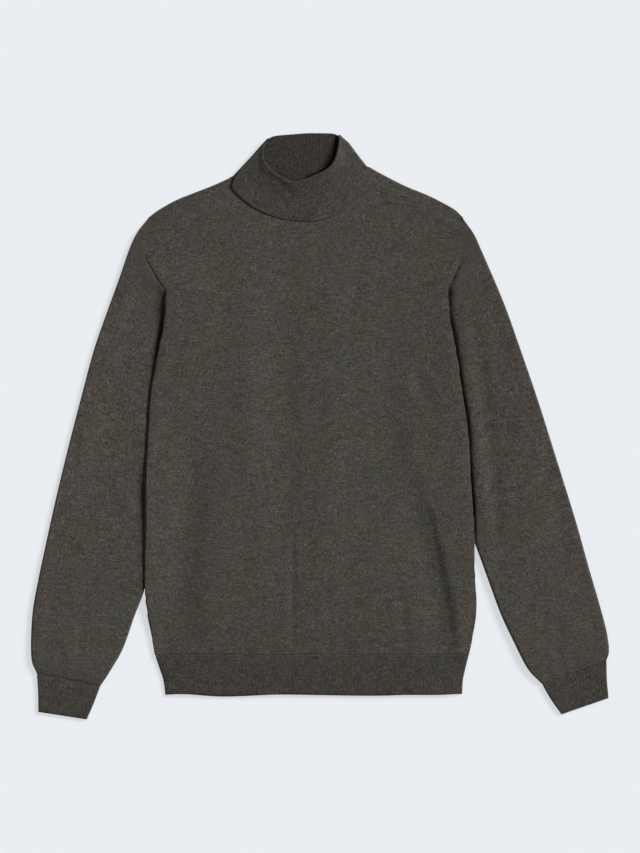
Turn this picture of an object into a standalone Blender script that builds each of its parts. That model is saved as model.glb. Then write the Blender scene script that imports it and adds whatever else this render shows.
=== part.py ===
"""A turtleneck sweater in fine wool jersey, laid flat on its back with the sleeves beside the body.

+X runs to the viewer's right, +Y from the hem to the collar, +Z up.  The tables and functions
work in millimetres and build_piece() makes the meshes in metres.  Every piece is a wall of cloth:
the front lies on the back, each sleeve and cuff is a flattened tube, and the collar is a tube
folded down over itself.  The inner part of each sleeve is tucked under the side of the body.
"""

import math
from collections import namedtuple

import bmesh
import bpy

MM = 0.001

# Cloth and seams
JERSEY = 1.8            # thickness of the front and the back
SLEEVE_JERSEY = 1.6     # thickness of the sleeves
RIB_CLOTH = 2.0         # thickness of the ribbed hem and cuffs under the ribs
SEAM = 0.3              # gap left between two sewn pieces
RIB_PITCH = 5.0         # from one rib to the next
RIB_HEIGHT = 0.5

# How the body lies
LOFT = 3.3              # most air between front and back, above the seam gap
TUCKED_TOP = 3.8        # height of the tucked part of a sleeve
LIFT = 4.4              # the back's underside, where it lies over a tucked sleeve
LIFT_TAKES = 0.55       # share of the lift that the loft gives up
LIFT_SPREAD = 13.0      # how far the lift reaches past the sleeve before it falls away
LIFT_ENDS_LEFT = (-275.0, -232.0)   # the lift fades out where each sleeve comes clear of the body
LIFT_ENDS_RIGHT = (-206.0, -163.0)
ARMHOLE_LOFT = 0.91     # share of the loft kept at the armhole seams
SIDE_RAMP = (-4.0, 30.0)        # where the front rises from a side fold
SHOULDER_RAMP = (-3.0, 26.0)    # and from a shoulder seam
HEM_LOFT = (0.4, 45.0)  # share of the loft left at the hem seam, and where it is full again
SIDE_THINNING = 0.8     # the front's side edge is rounded down this much
BESIDE_RAMP = (8.0, 28.0)       # where a sleeve's top rises beside the body
ARMHOLE_MARGIN = 6.0    # the armhole's heights start to change this far above the underarm
UNDERARM_Y = 186.0
TIP_Y = 282.0           # where the armhole seam meets the shoulder
FLUSH_Y = 238.0         # above this the sleeve lies level with the front
HEM_SEAM_Y = -308.0
HEM_LEFT = -208.7       # corners of the hem's lower edge
HEM_RIGHT = 191.8
HEM_LOW_Y = -362.2
HEM_WAVE = 1.3
HEM_WAVE_LENGTH = 62.0
HEM_WAVE_START = 40.0
HEM_AIR = 1.2           # between the two halves of the hem, away from its sides

Edge = namedtuple("Edge", "y left right")
Spot = namedtuple("Spot", "x y")
Chord = namedtuple("Chord", "outer_x outer_y inner_x inner_y height")
Roll = namedtuple("Roll", "rim_x rim_y edge_x edge_y rise lift")
Fold = namedtuple("Fold", "top_x top_y low_x low_y width depth")

# The body's side folds, from the hem's lower edge to the underarm
SIDES = (
    Edge(-361.0, HEM_LEFT, HEM_RIGHT),
    Edge(-342.0, -211.3, 192.8),
    Edge(-326.0, -216.5, 196.2),
    Edge(-308.0, -222.2, 200.4),
    Edge(-288.0, -225.6, 204.5),
    Edge(-248.0, -232.9, 210.5),
    Edge(-200.0, -235.8, 208.4),
    Edge(-140.0, -234.3, 207.0),
    Edge(-72.0, -234.2, 202.8),
    Edge(-5.0, -230.9, 198.8),
    Edge(49.0, -227.0, 190.7),
    Edge(103.0, -217.0, 182.8),
    Edge(144.0, -209.2, 174.6),
    Edge(UNDERARM_Y, -207.3, 171.9),
)

# The armhole seams, from the underarm to the tip of the shoulder
ARMHOLES = (
    Edge(UNDERARM_Y, -207.3, 171.9),
    Edge(197.0, -217.5, 178.0),
    Edge(210.0, -227.0, 183.5),
    Edge(230.0, -236.5, 191.0),
    Edge(252.0, -239.0, 196.0),
    Edge(268.0, -236.5, 195.8),
    Edge(TIP_Y, -231.0, 192.4),
)

# The shoulder seams, from each tip to the neck
LEFT_SHOULDER = (
    Spot(-231.0, TIP_Y),
    Spot(-218.0, 292.3),
    Spot(-194.5, 305.8),
    Spot(-174.6, 313.9),
    Spot(-146.3, 324.7),
    Spot(-117.0, 333.0),
)
RIGHT_SHOULDER = (
    Spot(62.5, 348.6),
    Spot(74.1, 346.0),
    Spot(94.5, 335.5),
    Spot(116.0, 324.7),
    Spot(142.3, 313.9),
    Spot(159.6, 305.8),
    Spot(183.2, 292.3),
    Spot(192.4, TIP_Y),
)
NECK_LEFT = LEFT_SHOULDER[-1]
NECK_RIGHT = RIGHT_SHOULDER[0]
FRONT_NECK = Spot(-27.0, 291.0)     # lowest point of the front neckline
FRONT_NECK_POWER = 2.6              # how square the front neckline is
BACK_NECK_SAG = 7.0

# Large folds of the front: a trough from the top point to the low point
FRONT_FOLDS = (
    Fold(144.6, -119.5, 182.4, -297.7, 12.0, 2.6),
    Fold(-135.0, -11.5, -175.4, -254.5, 24.0, 2.0),
    Fold(-168.6, 150.5, -195.6, 74.0, 13.0, 1.2),
    Fold(124.3, 96.5, 147.0, 29.0, 13.0, 1.0),
    Fold(110.8, -207.0, 121.6, -299.0, 12.0, 1.0),
    Fold(-37.7, -146.0, -37.7, -295.0, 12.0, 1.0),
)

# Each sleeve as chords from its outer fold to its inner fold, from the armhole to the cuff
LEFT_SLEEVE = (
    Chord(-231.4, TIP_Y, -207.7, UNDERARM_Y, 6.9),
    Chord(-247.0, 262.0, -201.0, 176.0, 6.9),
    Chord(-258.3, 238.0, -184.0, 151.0, 6.9),
    Chord(-271.4, 198.0, -170.0, 128.0, 6.8),
    Chord(-286.3, 157.0, -170.0, 104.0, 6.7),
    Chord(-305.0, 103.0, -180.0, 70.0, 6.5),
    Chord(-323.0, 36.0, -195.0, 5.0, 6.3),
    Chord(-340.5, -32.0, -207.0, -58.0, 6.3),
    Chord(-356.6, -99.0, -218.0, -121.0, 6.5),
    Chord(-371.6, -167.0, -229.0, -183.0, 6.8),
    Chord(-380.0, -207.0, -237.7, -223.0, 7.0),
    Chord(-387.3, -248.0, -250.3, -256.0, 7.1),
    Chord(-389.7, -288.0, -265.5, -299.0, 7.1),
    Chord(-388.6, -316.0, -283.0, -330.0, 7.0),
    Chord(-382.0, -332.6, -296.3, -350.3, 6.2),
)
RIGHT_SLEEVE = (
    Chord(192.8, TIP_Y, 172.3, UNDERARM_Y, 6.9),
    Chord(207.8, 260.0, 165.5, 176.0, 6.9),
    Chord(218.3, 238.0, 149.0, 151.0, 6.9),
    Chord(235.0, 198.0, 134.0, 128.0, 6.8),
    Chord(251.7, 157.0, 132.0, 103.0, 6.7),
    Chord(270.8, 103.0, 136.0, 68.0, 6.5),
    Chord(293.8, 36.0, 151.0, 6.0, 6.3),
    Chord(315.0, -31.0, 171.0, -58.0, 6.3),
    Chord(336.3, -99.0, 191.0, -121.0, 6.5),
    Chord(348.6, -140.0, 206.0, -151.0, 6.8),
    Chord(363.6, -194.0, 226.0, -205.0, 7.0),
    Chord(375.6, -235.0, 243.3, -252.0, 7.1),
    Chord(386.2, -275.0, 260.0, -288.0, 7.1),
    Chord(389.7, -302.0, 279.6, -326.0, 7.0),
    Chord(386.4, -315.6, 299.3, -347.2, 6.2),
)
LEFT_CUFF = (
    Chord(-381.9, -333.0, -296.5, -350.7, 5.4),
    Chord(-380.3, -358.4, -305.6, -374.6, 5.2),
    Chord(-380.0, -384.8, -314.4, -394.9, 5.0),
)
RIGHT_CUFF = (
    Chord(386.5, -316.0, 299.5, -347.6, 5.4),
    Chord(387.0, -341.0, 311.3, -367.9, 5.2),
    Chord(389.2, -366.0, 325.5, -388.1, 5.0),
)

# The collar from left to right: where it folds over, and where the turned-down part ends
BACK_ROLL = (
    Roll(-71.0, 385.5, -116.0, 334.0, 0.0, 0.0),
    Roll(-60.6, 390.4, -97.0, 332.0, 0.0, 0.0),
    Roll(-40.4, 392.8, -64.0, 332.6, 0.0, 0.0),
    Roll(-17.4, 394.9, -27.0, 334.4, 0.0, 0.0),
    Roll(4.0, 394.9, 8.0, 337.5, 0.0, 0.0),
    Roll(17.0, 394.4, 36.0, 341.8, 0.0, 0.0),
    Roll(24.6, 390.4, 59.0, 348.9, 0.0, 0.0),
)
FRONT_ROLL = (
    Roll(-71.0, 385.5, -116.0, 334.0, 0.0, 0.0),
    Roll(-76.5, 373.0, -116.3, 319.3, 1.8, 1.0),
    Roll(-75.5, 359.5, -103.3, 305.4, 3.4, 1.6),
    Roll(-66.0, 345.5, -87.2, 293.4, 4.4, 1.4),
    Roll(-52.0, 335.0, -67.2, 284.1, 4.8, 0.6),
    Roll(-38.0, 330.0, -47.1, 278.0, 5.0, 0.0),
    Roll(-23.0, 331.0, -26.9, 275.9, 5.2, 0.0),
    Roll(-8.0, 336.5, -6.6, 276.0, 5.8, 0.0),
    Roll(6.0, 343.0, 13.6, 280.7, 6.4, 0.0),
    Roll(16.0, 351.5, 33.9, 290.9, 6.6, 0.0),
    Roll(21.5, 362.0, 50.1, 304.4, 6.0, 0.0),
    Roll(24.6, 375.0, 58.2, 320.0, 4.0, 0.0),
    Roll(25.6, 385.0, 60.0, 336.0, 1.6, 0.0),
    Roll(24.6, 390.4, 59.0, 348.9, 0.0, 0.0),
)
COLLAR_HEIGHT = 9.3         # of the flattened collar beside its raised fold
COLLAR_RISE_LENGTH = 35.0   # how far down from the fold the front stands up
COLLAR_SAMPLES = (9.0, 20.0)
COLLAR_LAP = 3.3            # how far the collar's inside laps over the back's neckline
COLLAR_RIBS_BACK = 34
COLLAR_RIBS_FRONT = 40
COLLAR_RIBS_SIDE = 2        # round each side fold

# Where a panel has its points: from a side fold inwards, and up the side and the armhole
SIDE_STEPS = (0.0, 1.6, 6.0, 14.0, 24.0, 36.0, 50.0, 66.0, 83.0, 100.0)
BODY_WIDTH = 436.0
SHOULDER_STEPS = (0.33, 0.67)   # between the neck and the steps from the right side
NECK_STEPS = 10
BACK_NECK_STEPS = 7
BODY_ROWS = (HEM_SEAM_Y, -298.0, -280.0, -250.0, -215.0, -175.0, -135.0, -95.0, -55.0, -15.0,
             25.0, 65.0, 102.0, 126.0, 142.0, 156.0, 171.0)
ARMHOLE_ROWS = (UNDERARM_Y, 191.0, 200.0, 214.0, 228.0, 241.0, 254.0, 266.0, 275.0, 280.4, TIP_Y)
FOLD_ANGLES = (35.0, 70.0)  # points on the round of a sleeve's fold
CAP_ANGLES = (50.0, 130.0)  # points on the round of the collar's fold
FIT_CHORDS = 3          # chords over which a sleeve lets go of its armhole's curve
UNDERARM_BULK = 8.0     # near the underarm the inner fold is solid about this far in
INSIDE_STEPS = 30       # halvings that find where the collar's inside ends

WOOL = (0.062, 0.056, 0.048)
WOOL_RIB = (0.055, 0.050, 0.043)
WOOL_ROUGHNESS = 0.92


def ease(start, end, at):
    """Rise from 0 at start to 1 at end, level at both ends."""
    part = min(max((at - start) / (end - start), 0.0), 1.0)
    return part * part * (3.0 - 2.0 * part)


def mix(first, second, part):
    return first + (second - first) * part


def slope_at(table, key, column, row):
    before = table[max(row - 1, 0)]
    after = table[min(row + 1, len(table) - 1)]
    rise = getattr(after, column) - getattr(before, column)
    return rise / (getattr(after, key) - getattr(before, key))


def read(table, key, column, at):
    """A column of a table at any key, on a smooth curve through its rows."""
    if at <= getattr(table[0], key):
        return getattr(table[0], column)
    if at >= getattr(table[-1], key):
        return getattr(table[-1], column)
    row = 0
    while getattr(table[row + 1], key) < at:
        row += 1
    low = getattr(table[row], key)
    step = getattr(table[row + 1], key) - low
    part = (at - low) / step
    square = part * part
    cube = square * part
    return (
        (2.0 * cube - 3.0 * square + 1.0) * getattr(table[row], column)
        + (cube - 2.0 * square + part) * step * slope_at(table, key, column, row)
        + (3.0 * square - 2.0 * cube) * getattr(table[row + 1], column)
        + (cube - square) * step * slope_at(table, key, column, row + 1)
    )


# ---- Outline of the body ----

def side_edge(y, side):
    """The body's left or right edge: the side fold, and the armhole seam above the underarm."""
    table = SIDES if y <= UNDERARM_Y else ARMHOLES
    return read(table, "y", side, y)


def shoulder_line(x):
    """The shoulder seams, joined by a straight line over the neck."""
    if x <= NECK_LEFT.x:
        return read(LEFT_SHOULDER, "x", "y", x)
    if x >= NECK_RIGHT.x:
        return read(RIGHT_SHOULDER, "x", "y", x)
    return mix(NECK_LEFT.y, NECK_RIGHT.y, (x - NECK_LEFT.x) / (NECK_RIGHT.x - NECK_LEFT.x))


def front_top(x):
    """Upper edge of the front: shoulders and a deep neckline."""
    if x <= NECK_LEFT.x or x >= NECK_RIGHT.x:
        return shoulder_line(x)
    end = NECK_LEFT if x < FRONT_NECK.x else NECK_RIGHT
    share = (x - FRONT_NECK.x) / (end.x - FRONT_NECK.x)
    return mix(FRONT_NECK.y, end.y, share ** FRONT_NECK_POWER)


def back_top(x):
    """Upper edge of the back: shoulders and a shallow neckline."""
    part = (x - NECK_LEFT.x) / (NECK_RIGHT.x - NECK_LEFT.x)
    part = min(max(part, 0.0), 1.0)
    return shoulder_line(x) - BACK_NECK_SAG * 4.0 * part * (1.0 - part)


def panel_columns(neck_steps):
    """Shares of the body's width at which a panel has its points."""
    width = ARMHOLES[-1].right - ARMHOLES[-1].left
    left = (NECK_LEFT.x - ARMHOLES[-1].left) / width
    right = (NECK_RIGHT.x - ARMHOLES[-1].left) / width
    shares = [step / BODY_WIDTH for step in SIDE_STEPS]
    for step in range(neck_steps + 1):
        turn = (1.0 - math.cos(math.pi * step / neck_steps)) / 2.0
        shares.append(mix(left, right, turn))
    shares.extend(mix(right, 1.0 - SIDE_STEPS[-1] / BODY_WIDTH, part) for part in SHOULDER_STEPS)
    shares.extend(1.0 - step / BODY_WIDTH for step in reversed(SIDE_STEPS))
    return shares


def panel_points(top_edge, neck_steps):
    """Plan positions of a panel's points, as rows of points from the hem seam upwards."""
    left_tip = ARMHOLES[-1].left
    right_tip = ARMHOLES[-1].right
    rows = []
    for row_y in BODY_ROWS + ARMHOLE_ROWS:
        row = []
        for share in panel_columns(neck_steps):
            reach = top_edge(mix(left_tip, right_tip, share)) - HEM_SEAM_Y
            y = HEM_SEAM_Y + (row_y - HEM_SEAM_Y) * reach / (TIP_Y - HEM_SEAM_Y)
            edge_y = min(y, TIP_Y)
            x = mix(side_edge(edge_y, "left"), side_edge(edge_y, "right"), share)
            row.append((x, y))
        rows.append(row)
    return rows


# ---- Heights of the body ----

def sleeve_inner_fold(y, sleeve):
    """X of a sleeve's inner fold at a height, where it runs under the body."""
    rows = sorted(sleeve, key=lambda chord: chord.inner_y)
    return read(rows, "inner_y", "inner_x", y)


def back_lift(x, y):
    """Height of the back's underside: it rises over the tucked parts of the sleeves."""
    below = y - LIFT_SPREAD
    left_fold = max(sleeve_inner_fold(y, LEFT_SLEEVE), sleeve_inner_fold(below, LEFT_SLEEVE))
    right_fold = min(sleeve_inner_fold(y, RIGHT_SLEEVE), sleeve_inner_fold(below, RIGHT_SLEEVE))
    left_share = 1.0 - ease(LIFT_SPREAD, 2.5 * LIFT_SPREAD, x - left_fold)
    left_share *= ease(*LIFT_ENDS_LEFT, y)
    right_share = 1.0 - ease(LIFT_SPREAD, 2.5 * LIFT_SPREAD, right_fold - x)
    right_share *= ease(*LIFT_ENDS_RIGHT, y)
    above = 1.0 - ease(UNDERARM_Y + ARMHOLE_MARGIN, FLUSH_Y, y)
    return LIFT * max(left_share, right_share) * above


def fold_depth(x, y, folds):
    """Depth of the troughs at a point, each fading out at both of its ends."""
    depth = 0.0
    for fold in folds:
        run_x = fold.low_x - fold.top_x
        run_y = fold.low_y - fold.top_y
        length = math.hypot(run_x, run_y)
        along = ((x - fold.top_x) * run_x + (y - fold.top_y) * run_y) / length
        across = ((x - fold.top_x) * run_y - (y - fold.top_y) * run_x) / length
        fade = ease(-0.15 * length, 0.3 * length, along)
        fade *= 1.0 - ease(0.85 * length, 1.1 * length, along)
        depth += fold.depth * fade * math.exp(-((across / fold.width) ** 2))
    return depth


def front_loft(x, y):
    """Air between front and back: none at the sides and shoulders, most in the middle."""
    edge_y = min(y, TIP_Y)
    from_side = min(x - side_edge(edge_y, "left"), side_edge(edge_y, "right") - x)
    open_end = ARMHOLE_LOFT * ease(UNDERARM_Y + ARMHOLE_MARGIN, FLUSH_Y, y)
    side = max(open_end, ease(*SIDE_RAMP, from_side) if from_side > 0.0 else 0.0)
    shoulder = ease(*SHOULDER_RAMP, shoulder_line(x) - y)
    hem = mix(HEM_LOFT[0], 1.0, ease(0.0, HEM_LOFT[1], y - HEM_SEAM_Y))
    loft = (LOFT - LIFT_TAKES * back_lift(x, y)) * side * shoulder * hem
    return max(loft - fold_depth(x, y, FRONT_FOLDS) * side * hem, 0.0)


# ---- Building walls ----

def build_piece(name, points, faces, colour):
    """Make one piece's object and its material from points in millimetres and faces."""
    mesh = bpy.data.meshes.new(name)
    mesh.from_pydata([(x * MM, y * MM, z * MM) for x, y, z in points], [], faces)
    shaped = bmesh.new()
    shaped.from_mesh(mesh)
    bmesh.ops.recalc_face_normals(shaped, faces=shaped.faces)
    shaped.to_mesh(mesh)
    shaped.free()
    mesh.shade_smooth()
    mesh.set_sharp_from_angle(angle=math.radians(50.0))
    mesh.materials.append(wool_material(name, colour))
    piece = bpy.data.objects.new(name, mesh)
    bpy.context.scene.collection.objects.link(piece)
    return piece


def wool_material(name, colour):
    material = bpy.data.materials.new(name + "_wool")
    material.use_nodes = True
    shader = material.node_tree.nodes["Principled BSDF"]
    shader.inputs["Base Color"].default_value = (*colour, 1.0)
    shader.inputs["Roughness"].default_value = WOOL_ROUGHNESS
    shader.inputs["Metallic"].default_value = 0.0
    return material


def build_panel(name, upper, lower, colour):
    """A flat wall between two grids of points, one lying over the other."""
    rows = len(upper)
    columns = len(upper[0])
    points = [point for row in upper for point in row]
    points += [point for row in lower for point in row]
    under = rows * columns
    faces = []
    for row in range(rows - 1):
        for column in range(columns - 1):
            first = row * columns + column
            corner = (first, first + 1, first + columns + 1, first + columns)
            faces.append((corner[0], corner[1], corner[2]))
            faces.append((corner[0], corner[2], corner[3]))
            faces.append((corner[2] + under, corner[1] + under, corner[0] + under))
            faces.append((corner[3] + under, corner[2] + under, corner[0] + under))
    border = list(range(columns))
    border += [row * columns + columns - 1 for row in range(1, rows)]
    border += [(rows - 1) * columns + column for column in reversed(range(columns - 1))]
    border += [row * columns for row in reversed(range(1, rows - 1))]
    for start, end in zip(border, border[1:] + border[:1]):
        faces.append((start, start + under, end + under))
        faces.append((start, end + under, end))
    return build_piece(name, points, faces, colour)


def strip_faces(points, first_ring, second_ring, count):
    """Triangles between two closed rings of points, split along each shorter diagonal."""
    faces = []
    for step in range(count):
        following = (step + 1) % count
        here = first_ring + step
        after = first_ring + following
        across = second_ring + step
        beyond = second_ring + following
        if math.dist(points[here], points[beyond]) < math.dist(points[after], points[across]):
            faces.append((here, after, beyond))
            faces.append((here, beyond, across))
        else:
            faces.append((here, after, across))
            faces.append((after, beyond, across))
    return faces


def build_tube(name, outer_rings, inner_rings, colour):
    """A wall between an outer and an inner tube, open at both ends."""
    count = len(outer_rings[0])
    points = [point for ring in outer_rings for point in ring]
    points += [point for ring in inner_rings for point in ring]
    inside = len(outer_rings) * count
    faces = []
    for ring in range(len(outer_rings) - 1):
        here = ring * count
        faces += strip_faces(points, here, here + count, count)
        faces += strip_faces(points, inside + here + count, inside + here, count)
    faces += strip_faces(points, inside, 0, count)
    last = inside - count
    faces += strip_faces(points, last, inside + last, count)
    return build_piece(name, points, faces, colour)


# ---- Front, back and hem ----

def build_body():
    """The front lies on the back and shares its heights, a seam's gap and the loft above it."""
    back_plan = panel_points(back_top, BACK_NECK_STEPS)
    back_under = [[(x, y, back_lift(x, y)) for x, y in row] for row in back_plan]
    back_upper = [[(x, y, z + JERSEY) for x, y, z in row] for row in back_under]
    build_panel("back", back_upper, back_under, WOOL)

    front_under = []
    front_upper = []
    for row in panel_points(front_top, NECK_STEPS):
        under = []
        upper = []
        for column, (x, y) in enumerate(row):
            bottom = back_lift(x, y) + JERSEY + SEAM + front_loft(x, y)
            folded = column in (0, len(row) - 1) and y < UNDERARM_Y + 1.0
            thinning = SIDE_THINNING if folded else 0.0
            under.append((x, y, bottom))
            upper.append((x, y, bottom + JERSEY - thinning))
        front_under.append(under)
        front_upper.append(upper)
    build_panel("front", front_upper, front_under, WOOL)


def hem_bottom(x):
    """The hem's lower edge, a shallow wave."""
    wave = math.sin((x + HEM_WAVE_START) / HEM_WAVE_LENGTH)
    return HEM_LOW_Y - HEM_WAVE * wave * ease(HEM_LEFT, HEM_LEFT + HEM_WAVE_LENGTH, x)


def hem_points(shares):
    rows = []
    for part in (0.0, 0.5, 1.0):
        row = []
        for share in shares:
            low_x = mix(HEM_LEFT, HEM_RIGHT, share)
            y = mix(HEM_SEAM_Y - SEAM, hem_bottom(low_x), part)
            edge_y = max(y, SIDES[0].y)
            x = mix(side_edge(edge_y, "left"), side_edge(edge_y, "right"), share)
            row.append((x, y))
        rows.append(row)
    return list(reversed(rows))


def build_hem():
    """The ribbed band, its back half flat on the floor and its ribs raised on the front half."""
    width = SIDES[3].right - SIDES[3].left
    steps = 2 * int(width / RIB_PITCH)
    back_under = [[(x, y, 0.0) for x, y in row] for row in hem_points((0.0, 0.5, 1.0))]
    back_upper = [[(x, y, RIB_CLOTH) for x, y, _ in row] for row in back_under]
    build_panel("hem_back", back_upper, back_under, WOOL_RIB)

    under = []
    upper = []
    for row in hem_points([step / steps for step in range(steps + 1)]):
        low = []
        high = []
        for step, (x, y) in enumerate(row):
            from_side = min(step, steps - step) * RIB_PITCH / 2.0
            air = HEM_AIR * ease(*SIDE_RAMP, from_side) if from_side > 0.0 else 0.0
            bottom = RIB_CLOTH + SEAM + air
            raised = RIB_HEIGHT if step % 2 == 1 else 0.0
            low.append((x, y, bottom))
            high.append((x, y, bottom + RIB_CLOTH + raised))
        under.append(low)
        upper.append(high)
    build_panel("hem_front", upper, under, WOOL_RIB)


# ---- Sleeves and cuffs ----

def fold_round(height, end_height, width):
    """Points round both folds of a flattened tube, as offsets along the chord and heights."""
    outer = []
    inner = []
    for angle in FOLD_ANGLES:
        turn = math.radians(angle)
        outer.append((height / 2.0 * (1.0 - math.cos(turn)), height / 2.0 * math.sin(turn)))
        inner.append((width - end_height / 2.0 * (1.0 - math.cos(turn)),
                      end_height / 2.0 * math.sin(turn)))
    return outer, inner


def flat_ring(width, outer_height, tops, inner_height):
    """A flattened tube's outline as (distance along the chord, height), outer fold first."""
    outer, inner = fold_round(outer_height, inner_height, width)
    ring = [(0.0, outer_height / 2.0)]
    ring += [(along, outer_height / 2.0 + up) for along, up in outer]
    ring += tops
    ring += [(along, inner_height / 2.0 + up) for along, up in reversed(inner)]
    ring.append((width, inner_height / 2.0))
    ring += [(along, inner_height / 2.0 - up) for along, up in inner]
    ring += [(along, 0.0) for along, _ in reversed(tops)]
    ring += [(along, outer_height / 2.0 - up) for along, up in reversed(outer)]
    return ring


def inset_ring(ring, thickness):
    """The ring moved inwards by the cloth's thickness."""
    moved = []
    count = len(ring)
    for step, (along, height) in enumerate(ring):
        before = ring[step - 1]
        after = ring[(step + 1) % count]
        run = after[0] - before[0]
        climb = after[1] - before[1]
        length = math.hypot(run, climb)
        moved.append((along + climb / length * thickness, height - run / length * thickness))
    return moved


def sleeve_top(x, y, plateau, side):
    """Height of a sleeve's upper face: low under and beside the body, then full."""
    edge = side_edge(min(y, TIP_Y), side)
    outside = edge - x if side == "left" else x - edge
    level = max(ease(*BESIDE_RAMP, outside), ease(UNDERARM_Y + ARMHOLE_MARGIN, FLUSH_Y, y))
    return mix(TUCKED_TOP, plateau, level)


def build_sleeve(name, sleeve, side):
    """A sleeve from its armhole, whose curve it follows, to its cuff."""
    out = -1.0 if side == "left" else 1.0
    shares = [(TIP_Y - y) / (TIP_Y - UNDERARM_Y) for y in reversed(ARMHOLE_ROWS)]
    seam = sleeve[0]
    bulges = []
    for share in shares:
        y = mix(seam.outer_y, seam.inner_y, share)
        bulges.append(side_edge(y, side) + out * 1.5 * SEAM - mix(seam.outer_x, seam.inner_x, share))

    def bulge(share):
        for step in range(len(shares) - 1):
            if share <= shares[step + 1]:
                part = (share - shares[step]) / (shares[step + 1] - shares[step])
                return mix(bulges[step], bulges[step + 1], part)
        return bulges[-1]

    outer_rings = []
    inner_rings = []
    for number, chord in enumerate(sleeve):
        width = math.hypot(chord.inner_x - chord.outer_x, chord.inner_y - chord.outer_y)
        keep = max(1.0 - number / FIT_CHORDS, 0.0)

        def place(along, height):
            share = min(max(along / width, 0.0), 1.0)
            x = mix(chord.outer_x, chord.inner_x, along / width) + bulge(share) * keep
            return (x, mix(chord.outer_y, chord.inner_y, along / width), height)

        tops = []
        for share in shares[2:-1]:
            x, y, _ = place(share * width, 0.0)
            tops.append((share * width, sleeve_top(x, y, chord.height, side)))
        x, y, _ = place(width, 0.0)
        inner_height = sleeve_top(x, y, chord.height, side) if y < 0.0 else TUCKED_TOP
        ring = flat_ring(width, chord.height, tops, inner_height)
        outer_rings.append([place(along, height) for along, height in ring])
        inside = inset_ring(ring, SLEEVE_JERSEY)
        limit = width - (UNDERARM_BULK / 2.0 if number == 0 else 0.0)
        squeeze = 1.0 - UNDERARM_BULK / width if 0 < number < FIT_CHORDS else 1.0
        inner_rings.append([place(min(along * squeeze, limit), height) for along, height in inside])
    build_tube(name, outer_rings, inner_rings, WOOL)


def build_cuff(name, cuff):
    """A ribbed cuff with its ribs raised on the upper side."""
    seam = cuff[0]
    seam_width = math.hypot(seam.inner_x - seam.outer_x, seam.inner_y - seam.outer_y)
    steps = 2 * int((seam_width - 8.0) / RIB_PITCH)
    outer_rings = []
    inner_rings = []
    for chord in cuff:
        width = math.hypot(chord.inner_x - chord.outer_x, chord.inner_y - chord.outer_y)
        margin = chord.height / 2.0 + 1.0
        tops = []
        for step in range(steps + 1):
            tops.append((mix(margin, width - margin, step / steps), chord.height))
        plain = flat_ring(width, chord.height, tops, chord.height)
        first_top = 1 + len(FOLD_ANGLES)
        ring = []
        for number, (along, height) in enumerate(plain):
            on_top = first_top <= number < first_top + len(tops)
            raised = RIB_HEIGHT if on_top and (number - first_top) % 2 == 1 else 0.0
            ring.append((along, height + raised))

        def place(along, height):
            x = mix(chord.outer_x, chord.inner_x, along / width)
            return (x, mix(chord.outer_y, chord.inner_y, along / width), height)

        outer_rings.append([place(along, height) for along, height in ring])
        inside = inset_ring(plain, RIB_CLOTH)
        inner_rings.append([place(along, height) for along, height in inside])
    build_tube(name, outer_rings, inner_rings, WOOL_RIB)


# ---- Collar ----

def read_roll(table, part):
    """A row of the collar's table at a share of the way along it."""
    last = len(table) - 1
    row = min(int(part * last), last - 1)
    share = part * last - row
    values = []
    for column in Roll._fields:
        here = getattr(table[row], column)
        after = getattr(table[row + 1], column)
        start = (after - getattr(table[max(row - 1, 0)], column)) / (2.0 if row > 0 else 1.0)
        end = (getattr(table[min(row + 2, last)], column) - here) / (2.0 if row + 2 <= last else 1.0)
        square = share * share
        cube = square * share
        value = (2.0 * cube - 3.0 * square + 1.0) * here + (cube - 2.0 * square + share) * start
        value += (3.0 * square - 2.0 * cube) * after + (cube - square) * end
        values.append(value)
    return Roll(*values)


def neckline_of(top_edge, neck_steps):
    """A panel's upper edge as its straight stretches run."""
    row = panel_points(top_edge, neck_steps)[-1]

    def height(x):
        for start, end in zip(row, row[1:]):
            if start[0] <= x <= end[0]:
                return mix(start[1], end[1], (x - start[0]) / (end[0] - start[0]))
        return shoulder_line(x)

    return height


def inner_length(roll, length, neck_edge):
    """Distance from the fold at which the collar's inside meets the front's neckline."""
    low = 0.0
    high = length
    if roll.edge_y > neck_edge(roll.edge_x):
        return length
    for _ in range(INSIDE_STEPS):
        middle = (low + high) / 2.0
        x = mix(roll.rim_x, roll.edge_x, middle / length)
        y = mix(roll.rim_y, roll.edge_y, middle / length)
        if y - 1.5 * SEAM > neck_edge(x):
            low = middle
        else:
            high = middle
    return low


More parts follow.
